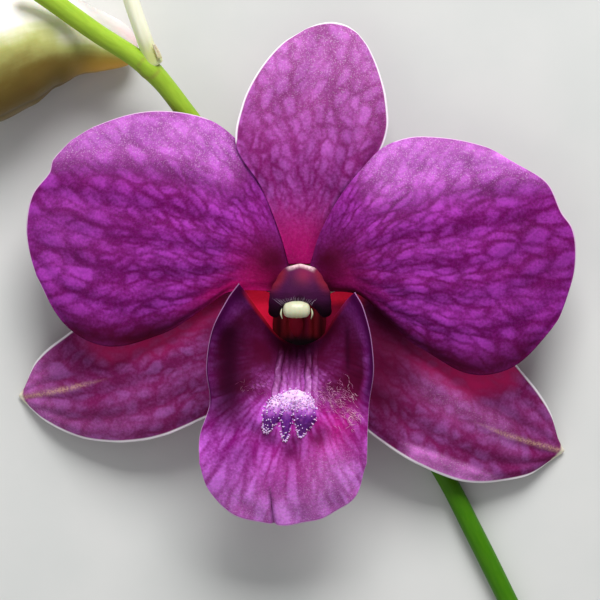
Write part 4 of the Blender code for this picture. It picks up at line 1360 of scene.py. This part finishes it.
def hairs_mesh(rng):
    """Fine hairs that lie beside the crest, most of them to its right."""
    spots = []
    while len(spots) < bpy.context.scene.orchid_sizes.hair_count:
        reach = rng.uniform(0, 6)
        x = 2.6 + 0.9 * reach + rng.normal(0, 0.6)
        y = -12.4 - 0.6 * reach + rng.normal(0, 0.8)
        if len(spots) % 4 == 0:
            x, y = rng.normal(6.0, 0.8), rng.normal(-12.2, 0.6)
        elif len(spots) % 11 == 0:
            x, y = rng.normal(-6.4, 0.9), rng.normal(-11.4, 0.7)
        if abs(x + 1.0) > 3.2 and x < 8.0:
            spots.append((x, y))
    hairs = []
    for place, normal in lip_floor_at(spots, CREST_LIFT):
        heading = rng.normal(-0.6, 0.5) if place.x > 0 else rng.normal(3.7, 0.5)
        way = 1 if rng.random() < 0.8 else -1
        lean = Vector((math.cos(heading), math.sin(heading), 0.0)) * way
        side = lean.cross(normal) * rng.normal(0, 0.35)
        reach = rng.uniform(0.35, 1.0)
        middle = place + (0.55 * normal + lean + side) * reach / 2
        hairs.append((place, middle, place + (0.7 * normal + 2 * lean) * reach / 2))
    mesh = hair_mesh("lip_hairs", hairs, 0.015)
    # Painted shade on the hairs at the lip's left side.
    add_masks(mesh, {"hair_shade": 0.8 * (bloom_points(mesh)[:, 0] < -1.0)})
    return mesh


def add_column_masks(mesh, grain, **masks):
    """Masks that the column's finish reads; those that aren't given are 0."""
    zero = np.zeros(len(grain))
    names = ("body", "night", "red", "throat", "pale")
    add_masks(mesh, {"grain": grain, **{name: zero + masks.get(name, 0) for name in names}})


def column_shape(angle, t):
    """Scale of the column's radius: a groove below the cap between two blunt side lobes."""
    turn = np.abs((np.degrees(angle) + 270) % 360 - 180)
    groove = ease(turn, 36, 22) * ease(t, 0.3, 0.55)
    return 1 - 0.4 * groove + 0.12 * hump(turn, 47, 14) * ease(t, 0.4, 0.65)


def hood_mesh():
    """Hood of the column, drawn in at its waist, with its lower lobes and a low ridge on top."""
    mesh, points, angle, t = pod_mesh(
        "column_hood", COLUMN_ROUTE, COLUMN_WIDTHS, COLUMN_DEPTHS, (0, 1, 0), (96, 72), column_shape
    )
    x, y, z = points.T.copy()
    aside = np.abs(x)
    turn = (np.degrees(angle) + 270) % 360 - 180
    hood = ease(z, 12.0, 14.0)
    waist = read_profile(HOOD_WAIST, (y + 3.0) / 7.6)
    points[:, 0] *= 1 + (waist - 1) * ease(z, 11.0, 13.0)
    points[:, 1] -= 0.9 * ease(aside, 1.6, 3.0) * ease(y, 1.2, -1.5) * hood
    points[:, 1] += 0.16 * hump(x, 0, 0.7) * ease(y, 3.0, 4.4) * hood
    place_points(mesh, points)
    rim = np.hypot(x / 4.5, (y - 0.9) / 3.8)
    add_column_masks(
        mesh, round_grain(angle, 3, z),
        body=np.maximum(1 - hood, 0.45 * spot(points, 0.5, 3.4, 1.2)),
        # Painted deep shade under the hood's lower lobes.
        night=hood * ease(y, 1.2, -0.8) * ease(aside, 0.8, 2.6),
        red=0.4 * ease(rim, 0.55, 1.0) * ease(y, 0.3, 2.2) * ease(aside, 1.2, 3.4),
        throat=ease(np.abs(turn), 38, 24) * ease(t, 0.25, 0.5) * ease(z, 16.4, 15.0),
        pale=ease(y + 0.1 * x * x, 4.0, 4.6) * ease(np.abs(x - 0.2), 2.4, 1.3) * hood,
    )
    return mesh


def foot_mesh():
    """Foot of the column, with painted deep shade at its sides and lower end, and streaked inside.
    """
    mesh, points, angle, _ = pod_mesh(
        "column_foot", FOOT_ROUTE, FOOT_WIDTHS, FOOT_DEPTHS, (1, 0, 0), (48, 48)
    )
    x, y, z = points.T
    inner = ease(z, 3.0, 5.5) * ease(y, 1.6, 0.4)
    add_column_masks(
        mesh, round_grain(angle, 3, z), body=1 - 0.2 * inner,
        night=np.maximum(ease(y, -4.2, -5.6), 0.7 * ease(np.abs(x), 1.6, 2.8)),
        red=0.6 * ease(np.abs(x), 0.9, 1.5), throat=inner * (0.55 - 0.45 * np.cos(5.5 * x)),
    )
    return mesh


def tongue_mesh():
    """Tongue in the throat below the cap."""
    mesh, points, _, _ = pod_mesh(
        "throat_tongue", TONGUE_ROUTE, TONGUE_WIDTHS, TONGUE_DEPTHS, (1, 0, 0), (24, 24)
    )
    # Painted deep shade at the tongue's lower end.
    night = ease(points[:, 1], -4.3, -5.6)
    add_column_masks(mesh, points, body=1, night=night, red=0.35, throat=0.5)
    return mesh


def cap_shape(angle, t):
    """Scale of the cap's radius: a seam round its middle, below a low ridge."""
    seam = 0.06 * hump(t, 0.5, 0.03) * ease(np.cos(angle), 0.2, -0.6)
    return 1 - seam - 0.13 * hump(angle, 0, 0.7) + 0.05 * hump(t, 0.5, 0.05)


def cap_mesh():
    """Dome of the anther cap."""
    x, y, z = CAP_PLACE
    route = ((x - 1.8, y, z), (x, y + 0.12, z + 0.1), (x + 1.8, y, z))
    mesh, points, _, _ = pod_mesh(
        "anther_cap_dome", route, CAP_WIDTHS, CAP_DEPTHS, (0, 0, 1), (64, 56), cap_shape
    )
    add_masks(mesh, {
        "green": 0.8 * hump(points[:, 0], x, 0.9) * ease(points[:, 1], y, y - 1.2),
        "lower_side": ease(points[:, 2], z - 0.3, z - 0.9),
    })
    return mesh


def bristles_mesh():
    """Row of bristles along the cap's upper side."""
    rng = np.random.default_rng(8)
    x, y, z = CAP_PLACE
    bristles = []
    for share in np.linspace(-1, 1, BRISTLES):
        foot = Vector((x + 1.9 * share, y + 1.2 - 0.5 * share**2, z + 0.35))
        out = Vector((1.1 * share + rng.normal(0, 0.15), 1.0, 0.45)) * rng.uniform(0.5, 1.0)
        bristles.append((foot, foot + 0.5 * out + Vector((0.0, 0.0, 0.12)), foot + out))
    return hair_mesh("cap_bristles", bristles, 0.018)


def claw_mesh(name, side):
    """Small claw at one side of the cap."""
    x, y, z = CAP_PLACE
    x += side * 1.95
    route = (
        (x, y + 0.35, z + 0.2), (x + side * 0.14, y - 0.4, z + 0.1),
        (x - side * 0.06, y - 1.1, z - 0.1),
    )
    mesh, points, _, _ = pod_mesh(
        name, route, (0.10, 0.13, 0.06), (0.2, 0.22, 0.12), (0, 0, 1), (12, 14)
    )
    zero = np.zeros(len(points))
    add_masks(mesh, {"green": zero, "lower_side": zero})
    return mesh


def seam_turns(angle, t):
    """Angle from each of the bud's three seams, which wind a little."""
    for seam in BUD_SEAMS:
        yield (angle - seam - 0.12 * np.sin(5 * t) + math.pi) % (2 * math.pi) - math.pi


def bud_shape(angle, t):
    """Scale of the bud's radius: seams sunk in low folds, a shoulder and a fuller upper side."""
    swell = sum(
        0.025 * hump(turn, 0, 0.3) + 0.012 * hump(turn, 0, 0.07) for turn in seam_turns(angle, t)
    )
    shoulder = 0.45 * np.exp(-(((angle - 0.2) / 0.8) ** 2) - (t / 0.12) ** 2)
    upper = 0.32 * (1 + np.cos(angle)) / 2 * np.minimum(t * 2, 1.0)
    return 1 - swell * np.minimum(t * 2.5, 1.0) + shoulder + upper


def bud_mesh():
    """Closed bud, flat where it rests on the floor."""
    mesh, points, angle, t = pod_mesh(
        "bud_body", BUD_ROUTE, BUD_WIDTHS, BUD_DEPTHS, (0, 0, 1), (144, 110), bud_shape
    )
    points[:, 2] = np.maximum(points[:, 2], 0.0)
    place_points(mesh, points)
    up = np.cos(angle)
    seam = np.maximum.reduce([hump(turn, 0, 0.07) for turn in seam_turns(angle, t)])
    add_masks(mesh, {
        "grain": round_grain(angle, 7, t * 30),
        # side runs from the under side to the top; the spot adds painted light to a shaded dip by
        # the shoulder.
        "side": up + 0.3 * ease(t, 0.45, 0.1) + 0.22 * spot(points, -31.2, 34.8, 2.4),
        "seam": 0.6 * seam * np.minimum(t * 4, 1) * (0.1 + 0.9 * ease(up, 0.5, -0.2)),
        "chin": 0.85 * ease(t, 0.42, 0.06) * ease(up, -0.1, -0.8),
        "shoulder": 0.6 * ease(t, 0.2, 0.04) * ease(up, 0.3, 0.8),
        "tip": 0.9 * ease(t, 0.02, 0.0),
    })
    return mesh


def node_distances(points):
    """Distance in plan from each of the stem's nodes."""
    return [np.hypot(points[:, 0] - x, points[:, 1] - y) for x, y in STEM_NODES]


def stem_swell(path, t, angle):
    """Low ribs of the stem, and its swollen nodes with a fine ring round each."""
    extra = 0.015 * np.sin(9 * angle + 8 * t) + 0.03 * np.sin(21 * t + 2 * angle)
    for away in node_distances(path):
        extra = extra + 0.16 * hump(away, 0, 2.3) + 0.06 * hump(away, 0, 0.3)
    return extra


def bud_pedicel_swell(path, t, angle):
    """Faint ribs of the bud's stalk, and its wider foot."""
    return 0.03 * np.sin(7 * angle + 5 * t) + 0.35 * ease(t, 0.10, 0.0)


def ovary_swell(path, t, angle):
    """Six ribs of the bloom's stalk, the ovary near its top and its wider foot."""
    return 0.05 * np.sin(6 * angle) + 0.45 * ease(t, 0.6, 0.9) + 0.3 * ease(t, 0.12, 0.0)


def bract_masks(points, place, t, edge, back):
    """Where a bract is lit, green at its base or in painted shade."""
    return {"lit": 0.5 * t, "blush": 0.4 * ease(t, 0.3, 0.0), "hollow": 0 * t}


class ORCHID_OT_petals(bpy.types.Operator):
    """Build the two broad petals"""

    bl_idname = "orchid.petals"
    bl_label = "Petals"

    def execute(self, context):
        colours = context.scene.orchid_colours
        tints = (
            colours.petal_cell, colours.petal_vein, colours.petal_lit_tint, colours.crimson,
            colours.hollow, colours.rim,
        )
        finish = petal_finish("petal_purple", tints, 0.5, 0.13)
        for name, shape, side in (("left", LEFT_PETAL, -1), ("right", RIGHT_PETAL, 1)):
            build_blade(f"{name}_petal_blade", shape, finish, "petal_purple", petal_masks(side))
        return {"FINISHED"}


class ORCHID_OT_sepals(bpy.types.Operator):
    """Build the dorsal sepal and the two lateral sepals"""

    bl_idname = "orchid.sepals"
    bl_label = "Sepals"

    def execute(self, context):
        colours = context.scene.orchid_colours
        dorsal = petal_finish("dorsal_mauve", (
            colours.dorsal_cell, colours.dorsal_vein, DORSAL_LIT_TINT, DORSAL_BASE, colours.hollow,
            DORSAL_RIM,
        ), 0.38, 0.3)
        lateral = petal_finish("lateral_mauve", (
            colours.sepal_cell, colours.sepal_vein, LATERAL_LIT_TINT, LATERAL_BASE, LATERAL_SHADING,
            LATERAL_RIM,
        ), 0.25, 0.38, lateral_extra, LATERAL_GLOW)
        build_blade("dorsal_sepal_blade", DORSAL_SEPAL, dorsal, "sepal_mauve", dorsal_masks)
        for name, shape, side in (("left", LEFT_SEPAL, -1), ("right", RIGHT_SEPAL, 1)):
            build_blade(
                f"{name}_lateral_sepal_blade", shape, lateral, "sepal_mauve", lateral_masks(side)
            )
        return {"FINISHED"}


class ORCHID_OT_lip(bpy.types.Operator):
    """Build the lip with its side lobes and keels"""

    bl_idname = "orchid.lip"
    bl_label = "Lip"

    def execute(self, context):
        colours = context.scene.orchid_colours
        finish = petal_finish("lip_magenta", (
            colours.lip_cell, colours.lip_vein, LIP_PALE_AND_LIT, LIP_BLUSH, colours.lip_maroon_shade, LIP_RIM,
        ), 0.65, 0.06, lip_extra)
        build_blade("lip_blade", LIP, finish, "lip_magenta", lip_masks, lip_lift)
        return {"FINISHED"}


class ORCHID_OT_crest(bpy.types.Operator):
    """Build the furry crest of the lip and the fine hairs beside it"""

    bl_idname = "orchid.crest"
    bl_label = "Crest and hairs"

    def execute(self, context):
        rng = np.random.default_rng(5)
        add_piece("lip_crest", crest_mesh(rng), crest_finish(), "lip_magenta")
        add_piece("lip_hairs", hairs_mesh(rng), hair_finish(), "lip_magenta")
        return {"FINISHED"}


class ORCHID_OT_column(bpy.types.Operator):
    """Build the column with its foot, throat and anther cap"""

    bl_idname = "orchid.column"
    bl_label = "Column and cap"

    def execute(self, context):
        violet = column_finish()
        add_piece("column_hood", hood_mesh(), violet, "column_maroon", "column")
        add_piece("column_foot", foot_mesh(), violet, "column_maroon")
        add_piece("throat_tongue", tongue_mesh(), violet, "column_maroon")
        cream = cap_finish()
        add_piece("anther_cap_dome", cap_mesh(), cream, "cap_cream", "anther_cap")
        add_piece("cap_bristles", bristles_mesh(), bristle_finish(), "column_maroon")
        for name, side in (("left_cap_claw", -1), ("right_cap_claw", 1)):
            add_piece(name, claw_mesh(name, side), cream, "cap_cream")
        return {"FINISHED"}


class ORCHID_OT_bud(bpy.types.Operator):
    """Build the closed bud"""

    bl_idname = "orchid.bud"
    bl_label = "Bud"

    def execute(self, context):
        add_piece("bud_body", bud_mesh(), bud_finish(), "bud_skin", "bud")
        return {"FINISHED"}


class ORCHID_OT_stalks(bpy.types.Operator):
    """Build the flower stem, the stalks of bloom and bud, and the bracts"""

    bl_idname = "orchid.stalks"
    bl_label = "Stem and stalks"

    def execute(self, context):
        sizes = context.scene.orchid_sizes
        colours = context.scene.orchid_colours

        mesh = stalk_mesh("flower_stem_stalk", STEM_ROUTE, sizes.stem_radius, 260, 36, stem_swell)
        bands = [hump(away, 1.35, 0.16) for away in node_distances(bloom_points(mesh))]
        add_masks(mesh, {"node": 0.5 * np.maximum.reduce(bands)})
        green = stalk_finish(
            "stem_green", colours.stem_lit_end, STEM_STREAK, ("node", STEM_NODE_BAND),
            colours.stem_shaded_end,
        )
        add_piece("flower_stem_stalk", mesh, green, "stem_green", "flower_stem")

        mesh = stalk_mesh(
            "bud_pedicel_stalk", BUD_PEDICEL_ROUTE, sizes.pedicel_radius, 90, 32, bud_pedicel_swell
        )
        add_masks(mesh, {"base": 0.85 * spot(bloom_points(mesh), -20.1, 32.5, 2.2)})
        cream = stalk_finish(
            "pedicel_cream", colours.pedicel, PEDICEL_STREAK, ("base", PEDICEL_BASE)
        )
        add_piece("bud_pedicel_stalk", mesh, cream, "pedicel_cream", "bud_pedicel")

        mesh = stalk_mesh(
            "bloom_pedicel_stalk", BLOOM_PEDICEL_ROUTE, sizes.pedicel_radius, 90, 36, ovary_swell
        )
        add_masks(mesh, {"top": ease(bloom_points(mesh)[:, 2], 4.2, 8.4)})
        mauve = stalk_finish("pedicel_mauve", OVARY_MAUVE, OVARY_STREAK, ("top", OVARY_TOP))
        add_piece("bloom_pedicel_stalk", mesh, mauve, "pedicel_mauve", "bloom_pedicel_ovary")

        papery = petal_finish("bract_paper", (
            colours.bract, BRACT_VEIN, BRACT_LIT_TINT, BRACT_BASE, BRACT_SHADING, BRACT_RIM,
        ), 0.1, 0.1)
        for name, outline in BRACTS.items():
            root = np.array(outline["left"][0][:2]) / 2 + np.array(outline["right"][0][:2]) / 2
            shape = {
                **outline, "crown": BRACT_CROWN, "grid": (24, 30), "fan": (root, 125, 8.0, 2.0),
                "seed": 71,
            }
            build_blade(
                name + "_blade", shape, papery, "bract", bract_masks, thickness=BRACT_THICKNESS,
                relief=BRACT_RELIEF,
            )
        return {"FINISHED"}


class ORCHID_OT_stage(bpy.types.Operator):
    """Lay the pale floor and set the camera and the soft lights"""

    bl_idname = "orchid.stage"
    bl_label = "Stage"

    def execute(self, context):
        settings = context.scene.orchid_stage
        bm = bmesh.new()
        bmesh.ops.create_grid(bm, x_segments=4, y_segments=4, size=FLOOR_REACH)
        bmesh.ops.translate(bm, vec=(0.0, 0.0, -FLOOR_DROP), verts=bm.verts)
        floor = bpy.data.objects.new("floor", keep_mesh(bm, "floor"))
        floor.data.materials.append(floor_finish())
        context.collection.objects.link(floor)

        x, y, _ = BLOOM_AXIS * MM
        view = bpy.data.cameras.new("camera")
        view.sensor_width = SENSOR_WIDTH
        away = settings.camera_height - PETAL_LEVEL
        view.lens = view.sensor_width * away / settings.view_width
        view.clip_start, view.clip_end = 0.01, 10.0
        camera = bpy.data.objects.new("camera", view)
        camera.location = (x, y, settings.camera_height)
        context.collection.objects.link(camera)
        context.scene.camera = camera

        for name, place, size, power in (
            ("key_light", (x + 0.06, y + 0.48, 0.40), 0.34, settings.key_power),
            ("fill_light", (x - 0.30, y - 0.32, 0.50), 0.6, settings.fill_power),
        ):
            lamp = bpy.data.lights.new(name, "AREA")
            lamp.size = size
            lamp.energy = power
            light = bpy.data.objects.new(name, lamp)
            light.location = place
            aim = Vector((x, y, PETAL_LEVEL)) - Vector(place)
            light.rotation_euler = aim.to_track_quat("-Z", "Y").to_euler()
            context.collection.objects.link(light)
        world = bpy.data.worlds.new("even_light")
        world.use_nodes = True
        back = world.node_tree.nodes["Background"]
        back.inputs["Color"].default_value = (*SKY_COLOUR, 1.0)
        back.inputs["Strength"].default_value = settings.sky
        context.scene.world = world
        context.scene.view_settings.view_transform = "Standard"
        return {"FINISHED"}


PIECE_OPERATORS = (
    ORCHID_OT_petals, ORCHID_OT_sepals, ORCHID_OT_lip, ORCHID_OT_crest, ORCHID_OT_column,
    ORCHID_OT_bud, ORCHID_OT_stalks, ORCHID_OT_stage,
)


class ORCHID_PT_panel(bpy.types.Panel):
    """Sizes, colours and pieces of the orchid"""

    bl_idname = "ORCHID_PT_panel"
    bl_label = "Dendrobium Orchid"
    bl_space_type = "VIEW_3D"
    bl_region_type = "UI"
    bl_category = "Orchid"

    def draw(self, context):
        for title, group in (
            ("Sizes", context.scene.orchid_sizes),
            ("Colours", context.scene.orchid_colours),
            ("Stage", context.scene.orchid_stage),
        ):
            box = self.layout.box()
            box.label(text=title)
            for name in group.__annotations__:
                box.prop(group, name)
        for operator in PIECE_OPERATORS:
            self.layout.operator(operator.bl_idname)


CLASSES = (OrchidSizes, OrchidColours, OrchidStage, *PIECE_OPERATORS, ORCHID_PT_panel)


def register():
    """Register the classes and hang the settings on the scene."""
    for item in CLASSES:
        bpy.utils.register_class(item)
    bpy.types.Scene.orchid_sizes = PointerProperty(type=OrchidSizes)
    bpy.types.Scene.orchid_colours = PointerProperty(type=OrchidColours)
    bpy.types.Scene.orchid_stage = PointerProperty(type=OrchidStage)


def unregister():
    """Take the settings and the classes away again."""
    del bpy.types.Scene.orchid_stage
    del bpy.types.Scene.orchid_colours
    del bpy.types.Scene.orchid_sizes
    for item in reversed(CLASSES):
        bpy.utils.unregister_class(item)


def main():
    """Build every piece and the stage."""
    register()
    bpy.ops.orchid.stage()
    bpy.ops.orchid.petals()
    bpy.ops.orchid.sepals()
    bpy.ops.orchid.lip()
    bpy.ops.orchid.crest()
    bpy.ops.orchid.column()
    bpy.ops.orchid.bud()
    bpy.ops.orchid.stalks()


if __name__ == "__main__":
    main()
